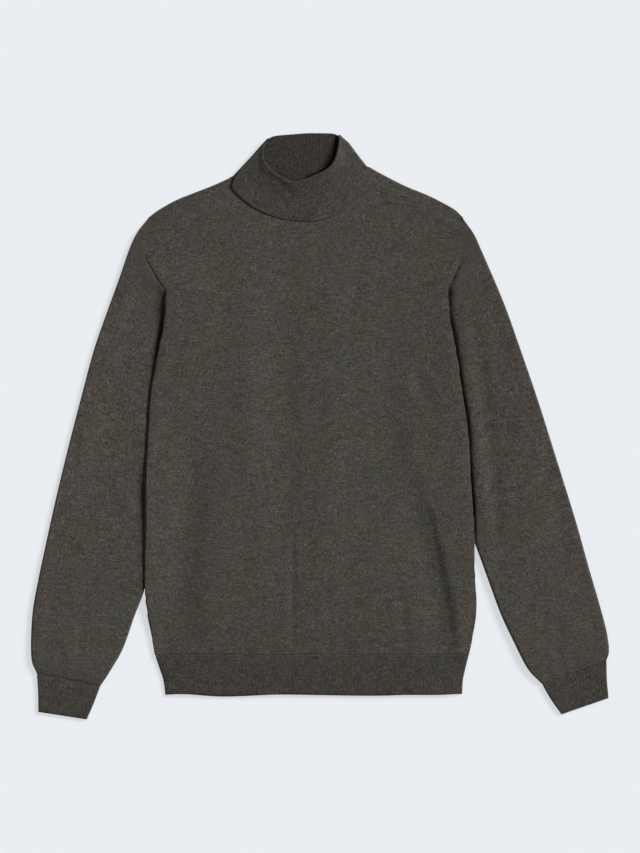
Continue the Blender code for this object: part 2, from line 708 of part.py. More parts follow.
def collar_section(roll, normal, inside_length, outer_rib, inner_rib):
    """One closed section through both layers of the collar, at right angles to its fold."""
    run_x = roll.edge_x - roll.rim_x
    run_y = roll.edge_y - roll.rim_y
    length = math.hypot(run_x, run_y)
    cap = JERSEY + SEAM / 2.0
    half = COLLAR_HEIGHT / 2.0

    def middle(along):
        stand = max(1.0 - along / COLLAR_RISE_LENGTH, 0.0) ** 2
        return half - JERSEY / 2.0 + roll.rise * stand + roll.lift * along / length

    def point(along, off):
        climb = middle(along + 0.5) - middle(along - 0.5)
        size = math.hypot(1.0, climb)
        return (along - climb / size * off, middle(along) + off / size)

    outer_stops = (cap,) + COLLAR_SAMPLES + (length,)
    inner_stops = (cap,) + COLLAR_SAMPLES + (inside_length,)
    wall = JERSEY / 2.0
    deep = -JERSEY - SEAM
    outline = [point(stop, wall + outer_rib) for stop in reversed(outer_stops)]
    for angle in CAP_ANGLES:
        turn = math.radians(angle)
        outline.append((cap - cap * math.sin(turn), point(cap, deep / 2.0 + cap * math.cos(turn))[1]))
    outline += [point(stop, deep - wall - inner_rib) for stop in inner_stops]
    outline += [point(stop, deep + wall) for stop in reversed(inner_stops)]
    outline += [point(stop, -wall) for stop in outer_stops]
    section = []
    for along, height in outline:
        x = roll.rim_x + run_x / length * along + normal[0] * height
        y = roll.rim_y + run_y / length * along + normal[1] * height
        section.append((x, y, half + normal[2] * height))
    return section


def collar_stations():
    """Every section's roll, outward direction, inside length and raised faces, all the way round."""
    front_neck = neckline_of(front_top, NECK_STEPS)
    back_neck = neckline_of(back_top, BACK_NECK_STEPS)
    stations = []
    back_steps = 2 * COLLAR_RIBS_BACK
    for step in range(back_steps):
        part = step / back_steps
        roll = read_roll(BACK_ROLL, part)
        roll = roll._replace(edge_y=max(roll.edge_y, back_neck(roll.edge_x) + 1.2 * SEAM))
        length = math.hypot(roll.edge_x - roll.rim_x, roll.edge_y - roll.rim_y)
        lap = COLLAR_LAP * math.sin(math.pi * part) ** 0.5
        stations.append((roll, (0.0, 0.0, -1.0), length + lap))
    side_steps = 2 * COLLAR_RIBS_SIDE
    stations += side_stations(BACK_ROLL[-1], 1.0, side_steps)
    front_steps = 2 * COLLAR_RIBS_FRONT
    for step in range(front_steps):
        roll = read_roll(FRONT_ROLL, 1.0 - step / front_steps)
        length = math.hypot(roll.edge_x - roll.rim_x, roll.edge_y - roll.rim_y)
        stations.append((roll, (0.0, 0.0, 1.0), inner_length(roll, length, front_neck)))
    stations += side_stations(BACK_ROLL[0], -1.0, side_steps)
    return stations


def side_stations(roll, side, steps):
    """Sections round a side fold of the collar: from back to front on the right, and back again."""
    run_x = roll.edge_x - roll.rim_x
    run_y = roll.edge_y - roll.rim_y
    length = math.hypot(run_x, run_y)
    out_x = -run_y / length * side
    out_y = run_x / length * side
    stations = []
    for step in range(steps):
        turn = math.radians(mix(-90.0, 90.0, step / steps) * side)
        normal = (out_x * math.cos(turn), out_y * math.cos(turn), math.sin(turn))
        stations.append((roll, normal, length))
    return stations


def build_collar():
    """The collar as one wall: its sections joined all the way round the neck."""
    stations = collar_stations()
    points = []
    for number, (roll, normal, inside_length) in enumerate(stations):
        rib = RIB_HEIGHT if number % 2 == 1 else 0.0
        outer_rib = rib if normal[2] > -0.1 else 0.0
        inner_rib = rib if normal[2] < -0.9 else 0.0
        points += collar_section(roll, normal, inside_length, outer_rib, inner_rib)
    count = len(points) // len(stations)
    faces = []
    for number in range(len(stations)):
        after = (number + 1) % len(stations)
        faces += strip_faces(points, number * count, after * count, count)
    build_piece("collar", points, faces, WOOL_RIB)


def main():
    for leftover in list(bpy.data.objects):
        bpy.data.objects.remove(leftover, do_unlink=True)
    build_body()
    build_hem()
    build_sleeve("sleeve_left", LEFT_SLEEVE, "left")
    build_sleeve("sleeve_right", RIGHT_SLEEVE, "right")
    build_cuff("cuff_left", LEFT_CUFF)
    build_cuff("cuff_right", RIGHT_CUFF)
    build_collar()


main()
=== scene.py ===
import math

import bpy
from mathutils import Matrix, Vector, noise


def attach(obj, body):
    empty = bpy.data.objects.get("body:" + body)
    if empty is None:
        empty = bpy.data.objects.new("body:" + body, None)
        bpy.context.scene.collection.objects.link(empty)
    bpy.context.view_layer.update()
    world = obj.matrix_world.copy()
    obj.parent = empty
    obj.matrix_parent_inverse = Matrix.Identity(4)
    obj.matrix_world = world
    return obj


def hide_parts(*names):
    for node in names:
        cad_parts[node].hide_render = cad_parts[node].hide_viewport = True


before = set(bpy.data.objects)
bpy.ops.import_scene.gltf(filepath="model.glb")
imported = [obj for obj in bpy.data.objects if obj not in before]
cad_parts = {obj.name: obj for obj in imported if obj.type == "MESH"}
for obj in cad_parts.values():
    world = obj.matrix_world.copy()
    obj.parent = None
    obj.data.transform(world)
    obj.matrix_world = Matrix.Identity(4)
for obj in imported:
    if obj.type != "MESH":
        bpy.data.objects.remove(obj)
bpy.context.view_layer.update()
bpy.ops.object.select_all(action="DESELECT")

mm = 0.001  # the tables and functions below are in millimetres
left, right = 1, 2  # columns of the tables that give both sides
outward = {left: -1, right: 1}


def ease(start, end, at):
    part = min(max((at - start) / (end - start), 0), 1)
    return part * part * (3 - 2 * part)


def fade(start, end, at):
    return 1 - ease(start, end, at)


def mix(first, second, part):
    return first + (second - first) * part


# how far a surface rounds down near its edge: by the drop there, and only over the length
def roundedOff(drop, length, fromEdge):
    return drop * max(1 - fromEdge / length, 0) ** 2


# a column of a table at a value of its first column, on a smooth curve through the rows
def curveAt(rows, at, column=1):
    if at <= rows[0][0]:
        return rows[0][column]
    if at >= rows[-1][0]:
        return rows[-1][column]
    row = 0
    while rows[row + 1][0] < at:
        row += 1
    part = (at - rows[row][0]) / (rows[row + 1][0] - rows[row][0])
    return smoothStep(rows, row, part, column, True)


# a table whose rows are evenly spaced, read at a share of its length
def rowAt(rows, share, column):
    place = min(max(share, 0), 1) * (len(rows) - 1)
    row = min(int(place), len(rows) - 2)
    return smoothStep(rows, row, place - row, column, False)


def smoothStep(rows, row, part, column, byKey):
    before = rows[max(row - 1, 0)]
    here = rows[row]
    after = rows[row + 1]
    beyond = rows[min(row + 2, len(rows) - 1)]
    step = after[0] - here[0] if byKey else 1
    runIn = (after[0] - before[0]) if byKey else (2 if row > 0 else 1)
    runOut = (beyond[0] - here[0]) if byKey else (2 if row + 2 < len(rows) else 1)
    slopeIn = (after[column] - before[column]) / runIn * step
    slopeOut = (beyond[column] - here[column]) / runOut * step
    square = part * part
    cube = square * part
    value = (2 * cube - 3 * square + 1) * here[column]
    value += (cube - 2 * square + part) * slopeIn
    return value + (3 * square - 2 * cube) * after[column] + (cube - square) * slopeOut


crease = {
    "start": (-0.15, 0.28),  # where a fold begins and is full, as shares of its length
    "end": (0.72, 1.15),
    "runOn": 0.2,  # how far past its ends it is looked for
    "reach": 3.2,  # how many half widths away it is looked for
    "lip": 0.55,  # how much the cloth rises beside a trough
    "softness": 1.4,
}


# troughs and ridges: (from x, y, to x, y, bow, half width left, half width right, depth),
# with a negative depth for a ridge
def creaseHeight(creases, x, y):
    height = 0
    for fromX, fromY, toX, toY, bow, leftWidth, rightWidth, depth in creases:
        runX = toX - fromX
        runY = toY - fromY
        length = math.hypot(runX, runY)
        along = ((x - fromX) * runX + (y - fromY) * runY) / length / length
        if along < -crease["runOn"] or along > 1 + crease["runOn"]:
            continue
        across = ((y - fromY) * runX - (x - fromX) * runY) / length
        across -= bow * math.sin(math.pi * min(max(along, 0), 1))
        across /= rightWidth if across > 0 else leftWidth
        if abs(across) > crease["reach"]:
            continue
        depth *= ease(*crease["start"], along) * fade(*crease["end"], along)
        bell = math.exp(-across * across / crease["softness"])
        height -= depth * (1 - crease["lip"] * across * across) * bell
    return height


# the slow unevenness of laid cloth: size across, along, seed, height
unrest = [(75, 120, 0, 0.42), (24, 42, 7, 0.10)]


def restless(x, y, seed):
    return sum(height * noise.noise(Vector((x / across, y / along, seed + shift)))
               for across, along, shift, height in unrest)


# the cut of the body and how it lies; a pair of places is where a change begins and ends
body = {
    "underarm": 186,
    "tip": 282,  # where the armhole ends on the shoulder
    "hemSeam": -308,
    "sides": [
        (-361, -208.7, 191.8), (-342, -211.3, 192.8), (-326, -216.5, 196.2), (-308, -222.2, 200.4),
        (-288, -225.6, 204.5), (-248, -232.9, 210.5), (-200, -235.8, 208.4), (-140, -234.3, 207),
        (-72, -234.2, 202.8), (-5, -230.9, 198.8), (49, -227, 190.7), (103, -217, 182.8),
        (144, -209.2, 174.6), (186, -207.3, 171.9),
    ],
    "armholes": [
        (186, -207.3, 171.9), (189.5, -212.4, 174), (197, -217.2, 178), (210, -224.6, 184),
        (230, -235.4, 191.5), (252, -239, 196), (268, -236.5, 195.8), (282, -231, 192.4),
    ],
    "leftShoulder": [
        (-231, 282), (-218, 291.8), (-194.5, 305), (-174.6, 313.2), (-146.3, 324.2),
        (-133.8, 329.7), (-124, 334.2), (-117, 338.6),
    ],
    "rightShoulder": [
        (62.5, 351.6), (68.5, 348.8), (76, 344.4), (94.5, 334.6), (116, 323.9), (142.3, 313.1),
        (159.6, 304.9), (183.2, 291.4), (192.4, 282),
    ],
    "frontNeck": (-27, 291),
    "frontNeckPower": 2.6,
    "backNeckSag": 7,
    "cloth": 1.8,
    "layerGap": 0.3,
    "loft": 3.3,  # air between the two layers
    "armholeLoft": 0.91,  # its share at the armholes
    "hemLoft": (0.4, 45),  # its share at the hem, and how far up it grows
    "sideLoft": (-14, 12),
    "shoulderLoft": (-3, 26),
    "lift": 4,  # by the sleeves' tucked parts
    "liftSpread": 13,
    "liftEnds": {left: (-275, -232), right: (-206, -163)},
    "frontSoftness": 5,  # how much more softly it lifts the front
    "liftTaken": 0.3,  # the share of the lift that the air gives way to
    "tucked": 3.1,  # height of a sleeve where the body lies on it
    "levelling": (192, 238),  # here the sleeves come up level with the front
    "sideRadius": 1.2,  # of the fold that closes each side
    "sideInset": (0.6, 1.2, 260),  # how many radii in it lies, then at the tip, from this height
    "unevenSide": (0.9, 0.03),  # how far it wavers, over what share of the width
}
neckLeft = body["leftShoulder"][-1]
neckRight = body["rightShoulder"][0]

# each sleeve from the armhole to the cuff: outer fold x, y, inner fold x, y, height
sleeves = {
    left: [
        (-231.6, 282.6, -207.7, 186, 6.9), (-247.4, 262, -203.5, 176, 6.9),
        (-258.2, 238, -189, 154, 6.9), (-271.4, 198, -172, 128, 6.8),
        (-286.3, 157, -170, 104, 6.7), (-305, 103, -180, 70, 6.5),
        (-323, 36, -195, 5, 6.3), (-340.5, -32, -207, -58, 6.3),
        (-356.6, -99, -218, -121, 6.5), (-371.6, -167, -229, -183, 6.8),
        (-380, -207, -237.7, -223, 7.2), (-387.3, -248, -250.3, -256, 7.6),
        (-389.7, -288, -265.5, -299, 8), (-388.6, -316, -283, -330, 7.8),
        (-382, -332.6, -296.3, -350.3, 6),
    ],
    right: [
        (193, 282.6, 172.3, 186, 6.9), (208.5, 260, 167.5, 176, 6.9),
        (218.1, 238, 149, 151, 6.9), (235, 198, 134, 128, 6.8),
        (251.7, 157, 132, 103, 6.7), (270.8, 103, 136, 68, 6.5),
        (293.8, 36, 151, 6, 6.3), (315, -31, 171, -58, 6.3),
        (336.3, -99, 191, -121, 6.5), (348.6, -140, 206, -151, 6.8),
        (363.6, -194, 226, -205, 7.2), (375.6, -235, 243.3, -252, 7.6),
        (386.2, -275, 260, -288, 8), (389.7, -302, 279.6, -326, 7.8),
        (386.4, -315.6, 299.3, -347.2, 6),
    ],
}
innerFolds = {side: sorted((row[3], row[2]) for row in rows) for side, rows in sleeves.items()}


def sideEdge(y, side):
    return curveAt(body["sides"] if y <= body["underarm"] else body["armholes"], y, side)


def fromSides(x, y):
    y = min(y, body["tip"])
    return x - sideEdge(y, left), sideEdge(y, right) - x


def shoulderLine(x):
    if x <= neckLeft[0]:
        return curveAt(body["leftShoulder"], x)
    if x >= neckRight[0]:
        return curveAt(body["rightShoulder"], x)
    return mix(neckLeft[1], neckRight[1], (x - neckLeft[0]) / (neckRight[0] - neckLeft[0]))


def frontTop(x):
    if x <= neckLeft[0] or x >= neckRight[0]:
        return shoulderLine(x)
    lowX, lowY = body["frontNeck"]
    end = neckLeft if x < lowX else neckRight
    return mix(lowY, end[1], ((x - lowX) / (end[0] - lowX)) ** body["frontNeckPower"])


def backTop(x):
    part = min(max((x - neckLeft[0]) / (neckRight[0] - neckLeft[0]), 0), 1)
    return shoulderLine(x) - body["backNeckSag"] * 4 * part * (1 - part)


# how high the body is carried by the tucked parts of the sleeves
def liftAt(x, y, softness=1):
    near = body["liftSpread"]
    far = (1 + 1.5 * softness) * near
    leftFold = max(curveAt(innerFolds[left], y), curveAt(innerFolds[left], y - near))
    rightFold = min(curveAt(innerFolds[right], y), curveAt(innerFolds[right], y - near))
    overLeft = fade(near / softness, far, x - leftFold) * ease(*body["liftEnds"][left], y)
    overRight = fade(near / softness, far, rightFold - x) * ease(*body["liftEnds"][right], y)
    return body["lift"] * max(overLeft, overRight) * fade(*body["levelling"], y)


# points spread across a width, closer together towards both ends
def spread(share, crowding):
    return share - crowding * math.sin(2 * math.pi * share) / (2 * math.pi)


# a grid laid out by a function: (u, v) to (x, y, z, knit u, knit v, painted shade)
def layGrid(name, across, along, place):
    bpy.ops.object.select_all(action="DESELECT")
    bpy.ops.mesh.primitive_grid_add(x_subdivisions=across, y_subdivisions=along, size=1)
    piece = bpy.context.object
    piece.name = name
    mesh = piece.data
    mesh.name = name
    placed = [place(point.co.x + 0.5, point.co.y + 0.5) for point in mesh.vertices]
    mesh.vertices.foreach_set("co", [value * mm for point in placed for value in point[:3]])
    unwrapped = mesh.uv_layers[0]
    unwrapped.name = "knit"
    for loop in mesh.loops:
        point = placed[loop.vertex_index]
        unwrapped.data[loop.index].uv = (point[3] * mm, point[4] * mm)
    paintedShade = mesh.attributes.new("paintedShade", "FLOAT", "POINT")
    paintedShade.data.foreach_set("value", [point[5] for point in placed])
    mesh.update()
    return piece


def joinEnds(piece):
    bpy.ops.object.mode_set(mode="EDIT")
    bpy.ops.mesh.select_all(action="SELECT")
    bpy.ops.mesh.remove_doubles(threshold=0.004 * mm)
    bpy.ops.object.mode_set(mode="OBJECT")


# gives the piece just laid its wall, which grows inwards unless offset says otherwise
def thicken(piece, thickness, offset=-1, edgeRound=0):
    wall = piece.modifiers.new("wall", "SOLIDIFY")
    wall.thickness = thickness * mm
    wall.offset = offset
    wall.use_even_offset = False
    bpy.ops.object.modifier_apply(modifier="wall")
    if edgeRound > 0:
        soften = piece.modifiers.new("soften", "BEVEL")
        soften.width = edgeRound * mm
        soften.segments = 2
        soften.limit_method = "ANGLE"
        soften.angle_limit = math.radians(62)
        bpy.ops.object.modifier_apply(modifier="soften")
    bpy.ops.object.shade_smooth()


# sizes are in millimetres, noise scales and stretches in turns to the metre
wool = {
    "wale": 1.30,  # width of a column of stitches
    "course": 1.00,  # height of a row of stitches
    "lean": 0.55,  # how far the legs of a stitch lean, in rows
    "wander": (260, 0.9),  # scale and amount of the rows' and columns' wandering
    "fleck": (1.35, 1.75),  # size of the melange's flecks, across and along
    "streak": (20, 1.4),  # the same of the streaks of thicker and thinner yarn
    "patch": 48,  # size of its faint patches
    "patchTint": (0.38, 0.08, 0.44),  # how far red, green and blue stray in them
    "flecks": [
        (0.00, (0.040, 0.036, 0.031)),
        (0.14, (0.056, 0.051, 0.043)),
        (0.34, (0.069, 0.062, 0.052)),
        (0.48, (0.078, 0.070, 0.060)),
        (0.60, (0.074, 0.071, 0.059)),
        (0.74, (0.079, 0.072, 0.067)),
        (0.90, (0.097, 0.088, 0.076)),
        (1.00, (0.122, 0.112, 0.097)),
    ],
    "jerseyTone": (0.972, 0.950, 0.926),
    "ribTone": (0.770, 0.760, 0.760),
    "cloudScale": 75,
    "cloud": 0.20,  # how much lighter and darker the yarn gets over a finger's width
    "streaks": 0.44,  # the same along each streak
    "fibres": 0.30,
    "fibreStretch": (9, 1.6),  # in turns to the stitch
    "stitchShade": 0.26,
    "paintedShadeTint": (0.97, 1, 1.05),  # how much of each colour the painted shade takes away
    "paintedShadeFloor": (0.035, 0.025, 0.012),
    "fuzzScale": 1400,
    "fuzz": 0.4,  # height of fuzz and fibres beside a stitch
    "relief": 0.5,
    "reliefDepth": 0.3,
    "roughness": 0.95,
    "gloss": 0.12,
    "sheen": 0.06,
    "sheenRoughness": 0.5,
    "sheenTint": (0.80, 0.74, 0.66, 1),
}


# sets a node's inputs by name
def setInputs(node, values):
    for name, value in values.items():
        node.inputs[name].default_value = value


class Recipe:
    # adds nodes to a material and wires them up as it goes
    def __init__(self, material):
        self.tree = material.node_tree

    def node(self, kind, **settings):
        made = self.tree.nodes.new(kind)
        for name, value in settings.items():
            setattr(made, name, value)
        return made

    def feed(self, socket, source):
        if isinstance(source, bpy.types.NodeSocket):
            self.tree.links.new(source, socket)
        else:
            socket.default_value = source

    def calc(self, operation, *sources):
        made = self.node("ShaderNodeMath", operation=operation)
        for socket, source in zip(made.inputs, sources):
            self.feed(socket, source)
        return made.outputs[0]

    # lighter and darker by an amount, as the factor goes from 0 to 1
    def vary(self, factor, amount):
        strayed = self.calc("MULTIPLY", factor, 2 * amount)
        return self.calc("ADD", 1 - amount, strayed)

    def vector(self, operation, first, second):
        made = self.node("ShaderNodeVectorMath", operation=operation)
        self.feed(made.inputs[0], first)
        self.feed(made.inputs[1], second)
        return made.outputs[0]

    def times(self, colour, amount):
        made = self.node("ShaderNodeVectorMath", operation="SCALE")
        self.feed(made.inputs[0], colour)
        self.feed(made.inputs["Scale"], amount)
        return made.outputs[0]

    def pair(self, first, second):
        made = self.node("ShaderNodeCombineXYZ")
        self.feed(made.inputs["X"], first)
        self.feed(made.inputs["Y"], second)
        return made.outputs[0]

    def noise(self, place, scale, detail, stretch=(1, 1), kind="Fac"):
        made = self.node("ShaderNodeTexNoise", noise_dimensions="2D")
        self.feed(made.inputs["Vector"], self.vector("MULTIPLY", place, (*stretch, 1)))
        setInputs(made, {"Scale": scale, "Detail": detail, "Roughness": 0.6})
        return made.outputs[kind]

    def ramp(self, factor, stops):
        made = self.node("ShaderNodeValToRGB")
        bar = made.color_ramp
        while len(bar.elements) < len(stops):
            bar.elements.new(0.5)
        for element, (place, colour) in zip(bar.elements, stops):
            element.position = place
            element.color = (*colour, 1)
        self.feed(made.inputs["Fac"], factor)
        return made.outputs["Color"]


def makeWool(name, tone):
    material = bpy.data.materials.new(name)
    material.use_nodes = True
    shader = material.node_tree.nodes["Principled BSDF"]
    recipe = Recipe(material)
    calc, vector = recipe.calc, recipe.vector
    knit = recipe.node("ShaderNodeUVMap", uv_map="knit").outputs["UV"]
    axes = recipe.node("ShaderNodeSeparateXYZ")
    recipe.feed(axes.inputs[0], knit)

    # each stitch is a V of two leaning legs, side by side in columns
    wanderScale, wanderAmount = wool["wander"]
    wander = calc("SUBTRACT", recipe.noise(knit, wanderScale, 2), 0.5)
    wander = calc("MULTIPLY", wander, wanderAmount)
    column = calc("ADD", calc("DIVIDE", axes.outputs["X"], wool["wale"] * mm), wander)
    row = calc("ADD", calc("DIVIDE", axes.outputs["Y"], wool["course"] * mm), wander)
    fromMiddle = calc("ABSOLUTE", calc("SUBTRACT", calc("FRACT", column), 0.5))
    fromMiddle = calc("MULTIPLY", fromMiddle, 2)
    lean = calc("ADD", row, calc("MULTIPLY", fromMiddle, wool["lean"]))
    legs = calc("SINE", calc("MULTIPLY", lean, 2 * math.pi))
    legs = calc("ADD", calc("MULTIPLY", legs, 0.5), 0.5)
    acrossLeg = calc("SUBTRACT", calc("MULTIPLY", fromMiddle, 2), 1)
    roundLeg = calc("SUBTRACT", 1, calc("MULTIPLY", acrossLeg, acrossLeg))
    stitch = calc("MULTIPLY", legs, roundLeg)

    # each leg has the tone of the fibre at its middle
    acrossSize, alongSize = wool["fleck"]
    legColumn = calc("FLOOR", calc("MULTIPLY", column, 2))
    middleX = calc("MULTIPLY", legColumn, 0.5 * wool["wale"] / acrossSize)
    middleY = calc("MULTIPLY", calc("FLOOR", lean), wool["course"] / alongSize)
    fleck = recipe.node("ShaderNodeTexVoronoi", voronoi_dimensions="2D", feature="F1")
    recipe.feed(fleck.inputs["Vector"], recipe.pair(middleX, middleY))
    setInputs(fleck, {"Scale": 1})
    chance = recipe.node("ShaderNodeSeparateColor")
    recipe.feed(chance.inputs[0], fleck.outputs["Color"])
    colour = recipe.ramp(chance.outputs[0], wool["flecks"])

    # faint patches of other tints, slow clouds, streaks along the rows, and fibres
    patch = recipe.noise(knit, 1 / (wool["patch"] * mm), 5, kind="Color")
    strayed = vector("MULTIPLY", vector("SUBTRACT", patch, (0.5, 0.5, 0.5)), wool["patchTint"])
    colour = vector("MULTIPLY", colour, vector("ADD", strayed, (1, 1, 1)))
    cloud = recipe.noise(knit, wool["cloudScale"], 5, (0.8, 1))
    streak = recipe.noise(knit, 1, 1.5, [1 / (size * mm) for size in wool["streak"]])
    fibre = recipe.noise(recipe.pair(column, lean), 1, 3, wool["fibreStretch"])
    # painted shade between the legs of each stitch, with the yarn's own clouds, streaks and fibres
    depth = calc("MULTIPLY", stitch, 1.5 * wool["stitchShade"])
    depth = calc("ADD", 1 - wool["stitchShade"], depth)
    for factor, amount in ((cloud, "cloud"), (streak, "streaks"), (fibre, "fibres")):
        depth = calc("MULTIPLY", depth, recipe.vary(factor, wool[amount]))

    # the paintedShade attribute darkens the colour as painted shade, warmer in the dark, and
    # lightens it as painted light where negative
    paintedShade = recipe.node("ShaderNodeAttribute", attribute_name="paintedShade").outputs["Fac"]
    lit = vector("SUBTRACT", (1, 1, 1), vector("MULTIPLY", paintedShade, wool["paintedShadeTint"]))
    lit = vector("MAXIMUM", lit, wool["paintedShadeFloor"])
    colour = vector("MULTIPLY", vector("MULTIPLY", colour, tone), lit)
    recipe.feed(shader.inputs["Base Color"], recipe.times(colour, depth))

    fuzz = calc("ADD", recipe.noise(knit, wool["fuzzScale"], 4), fibre)
    bump = recipe.node("ShaderNodeBump")
    setInputs(bump, {"Strength": wool["relief"], "Distance": wool["reliefDepth"] * mm})
    recipe.feed(bump.inputs["Height"], calc("ADD", stitch, calc("MULTIPLY", fuzz, wool["fuzz"])))
    recipe.feed(shader.inputs["Normal"], bump.outputs["Normal"])
    setInputs(shader, {
        "Roughness": wool["roughness"], "Specular IOR Level": wool["gloss"],
        "Sheen Weight": wool["sheen"], "Sheen Roughness": wool["sheenRoughness"],
        "Sheen Tint": wool["sheenTint"],
    })
    return material


def dress(piece, material, node):
    piece.data.materials.clear()
    piece.data.materials.append(material)
    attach(piece, "root")
    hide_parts(node)


jerseyWool = makeWool("jersey_wool", wool["jerseyTone"])
ribWool = makeWool("rib_wool", wool["ribTone"])
print("wool mixed")


frontLook = {
    "grid": (194, 222),  # columns and rows
    "foldColumns": 5,  # of them in each side fold
    "crowding": 0.35,
    "wall": 1.5,
    "creases": [
        # long narrow folds that run up from the hem
        (138, -98, 183, -346, 5, 34, 9, 3.3),
        (-37.2, -132, -39, -345, 1, 5, 4, 1.3),
        (9, -184, 13.5, -302, -1, 6, 6, 0.4),
        (105, -196, 118, -330, 1.5, 9, 6, 1),
        (126, -62, 132, -150, 1, 16, 9, 0.8),
        (-121, -206, -126, -304, 2, 8, 7, 0.5),
        (60, -240, 64, -304, -1, 7, 6, 0.4),
        (-84, -250, -83, -304, 1, 6, 6, 0.35),
        (-168, -262, -167, -330, 0, 8, 5, 0.6),
        # slow rises and hollows
        (-172, 14, -192, -300, 3, 28, 32, 2.9),
        (-226, 60, -231, -262, -3, 18, 18, -0.9),
        (-209, 170, -222, 66, 0, 12, 10, -0.4),
        (180, 176, 203, -80, 2, 22, 18, -0.8),
        (-100, 210, -98, -90, 2, 24, 22, -2.3),
        (-47, 220, -45, -210, -2, 20, 20, 1.7),
        (14, 220, 9, -200, 3, 24, 24, -1.9),
        (90, 216, 94, -100, -3, 25, 25, 2),
        (130, 236, 128, 20, 3, 26, 24, 0.9),
        (66, -90, 60, -300, 3, 24, 24, -0.5),
        (-140, 250, -146, 180, -4, 22, 22, 0.7),
        # short folds on the chest and beside the armholes
        (-173, 156, -200, 72, -3, 9, 8, 1),
        (122, 98, 143, 22, 2, 9, 8, 0.8),
        (-233, 229, -208, 186, 1.5, 3.5, 4.5, -0.4),
        (-204.5, 238, -206, 190, 0, 5, 3.5, 0.6),
        (180, 226, 168.5, 207, 0, 3.2, 3.2, 1.2),
        (-96, 258, -150, 214, 4, 15, 15, 0.35),
        (60, 262, 118, 222, -4, 15, 15, 0.35),
    ],
    # strokes of painted shade and painted light that go with the folds
    "strokes": [
        (146, -108, 178, -306, 3, 20, 6, 0.13),
        (-150, -36, -181, -282, 0, 22, 20, 0.13),
        (196, -232, 197, -308, 0, 8, 8, -0.10),
        (179, 225, 168, 206, 0, 2.6, 2.6, 0.30),
        (-50, 264, 30, 266, 0, 9, 9, 0.08),
    ],
    "foldEnds": (-14, 10),  # the folds fade out towards the sides
    "seamedEnds": (182, 238),  # but not where the sleeves are sewn on
    "calm": (-27, 335, 92, 132),  # round the collar: x, y and two distances
    "seed": 1,
    "pucker": 0.22,  # of the jersey drawn in at the hem
    "puckerSize": (19, 60),
    "puckerEnds": (4, 26),
    "shoulderRound": (1, 4),  # drop and length, as at all rounded edges
    "hemRound": (0.10, 2.6),
    "deepest": -1.1,
    # painted shade on the knit, painted light where negative, and where that begins and ends
    "shoulderShade": (0.085, (0, 62)),
    "rightShoulder": (0.05, (90, 190)),  # so much more of it there
    "sideShade": (0.05, (110, 170), (-60, 60)),
    "hemShade": (0.05, (-260, -150)),
    "leftEdgeLight": (-0.24, (4, 18), (-40, 70)),
    "rightEdgeShade": (0.13, 2.2, (-300, -250)),  # the second is its width
    "foldShade": 0.55,
}
backLook = {"grid": (120, 150), "foldColumns": 0, "crowding": 0.5, "wall": 1.75, "edgeRound": 0.5}


def frontHeight(x, y):
    lift = liftAt(x, y, body["frontSoftness"])
    fromSide = min(fromSides(x, y))
    fromHem = y - body["hemSeam"]
    fromShoulder = shoulderLine(x) - y
    hemShare, hemReach = body["hemLoft"]
    free = max(body["armholeLoft"] * ease(*body["levelling"], y), ease(*body["sideLoft"], fromSide))
    free *= ease(*body["shoulderLoft"], fromShoulder)
    free *= mix(hemShare, 1, ease(0, hemReach, fromHem))
    air = (body["loft"] - body["liftTaken"] * lift) * free

    folds = creaseHeight(frontLook["creases"], x, y)
    seamed = ease(*frontLook["seamedEnds"], y)
    folds *= mix(ease(*frontLook["foldEnds"], max(fromSide, 0)), 1, seamed)
    calmX, calmY, calmFrom, calmTo = frontLook["calm"]
    stirred = ease(calmFrom, calmTo, math.hypot(x - calmX, (y - calmY) * 1.1))
    air += (folds + restless(x, y, frontLook["seed"]) * stirred) * free
    across, along = frontLook["puckerSize"]
    pucker = noise.noise(Vector((x / across, y / along, 3)))
    air += frontLook["pucker"] * fade(*frontLook["puckerEnds"], fromHem) * pucker
    if x < neckLeft[0] or x > neckRight[0]:
        air -= roundedOff(*frontLook["shoulderRound"], max(fromShoulder, 0))
    air -= roundedOff(*frontLook["hemRound"], fromHem)
    return lift + 2 * body["cloth"] + body["layerGap"] + max(air, frontLook["deepest"])


def backHeight(x, y):
    return liftAt(x, y) + body["cloth"]


# the painted shade and painted light on the knit of the front and the back
def paintedFrontShade(x, y):
    fromLeft, fromRight = fromSides(x, y)
    shoulder, down = frontLook["shoulderShade"]
    more, across = frontLook["rightShoulder"]
    shade = (shoulder + more * ease(*across, x)) * fade(*down, shoulderLine(x) - y)
    side, across, up = frontLook["sideShade"]
    shade += side * ease(*across, x) * ease(*up, y)
    hem, up = frontLook["hemShade"]
    shade += hem * fade(*up, y)
    rim, across, up = frontLook["leftEdgeLight"]
    shade += rim * fade(*across, fromLeft) * fade(*up, y)
    rim, width, up = frontLook["rightEdgeShade"]
    shade += rim * math.exp(-(max(fromRight, 0) / width) ** 2) * ease(*up, y)
    return shade - creaseHeight(frontLook["strokes"], x, y)


# how far the side folds waver, fading out towards the middle
def unevenSide(y, share):
    amount, reach = body["unevenSide"]
    nearSide = max(1 - min(share, 1 - share) / reach, 0)
    waver = noise.noise(Vector((y / 15, share * 3, 60)))
    waver += 0.6 * noise.noise(Vector((y / 6, share * 3, 70)))
    return amount * waver * nearSide * ease(0, 30, y - body["hemSeam"])


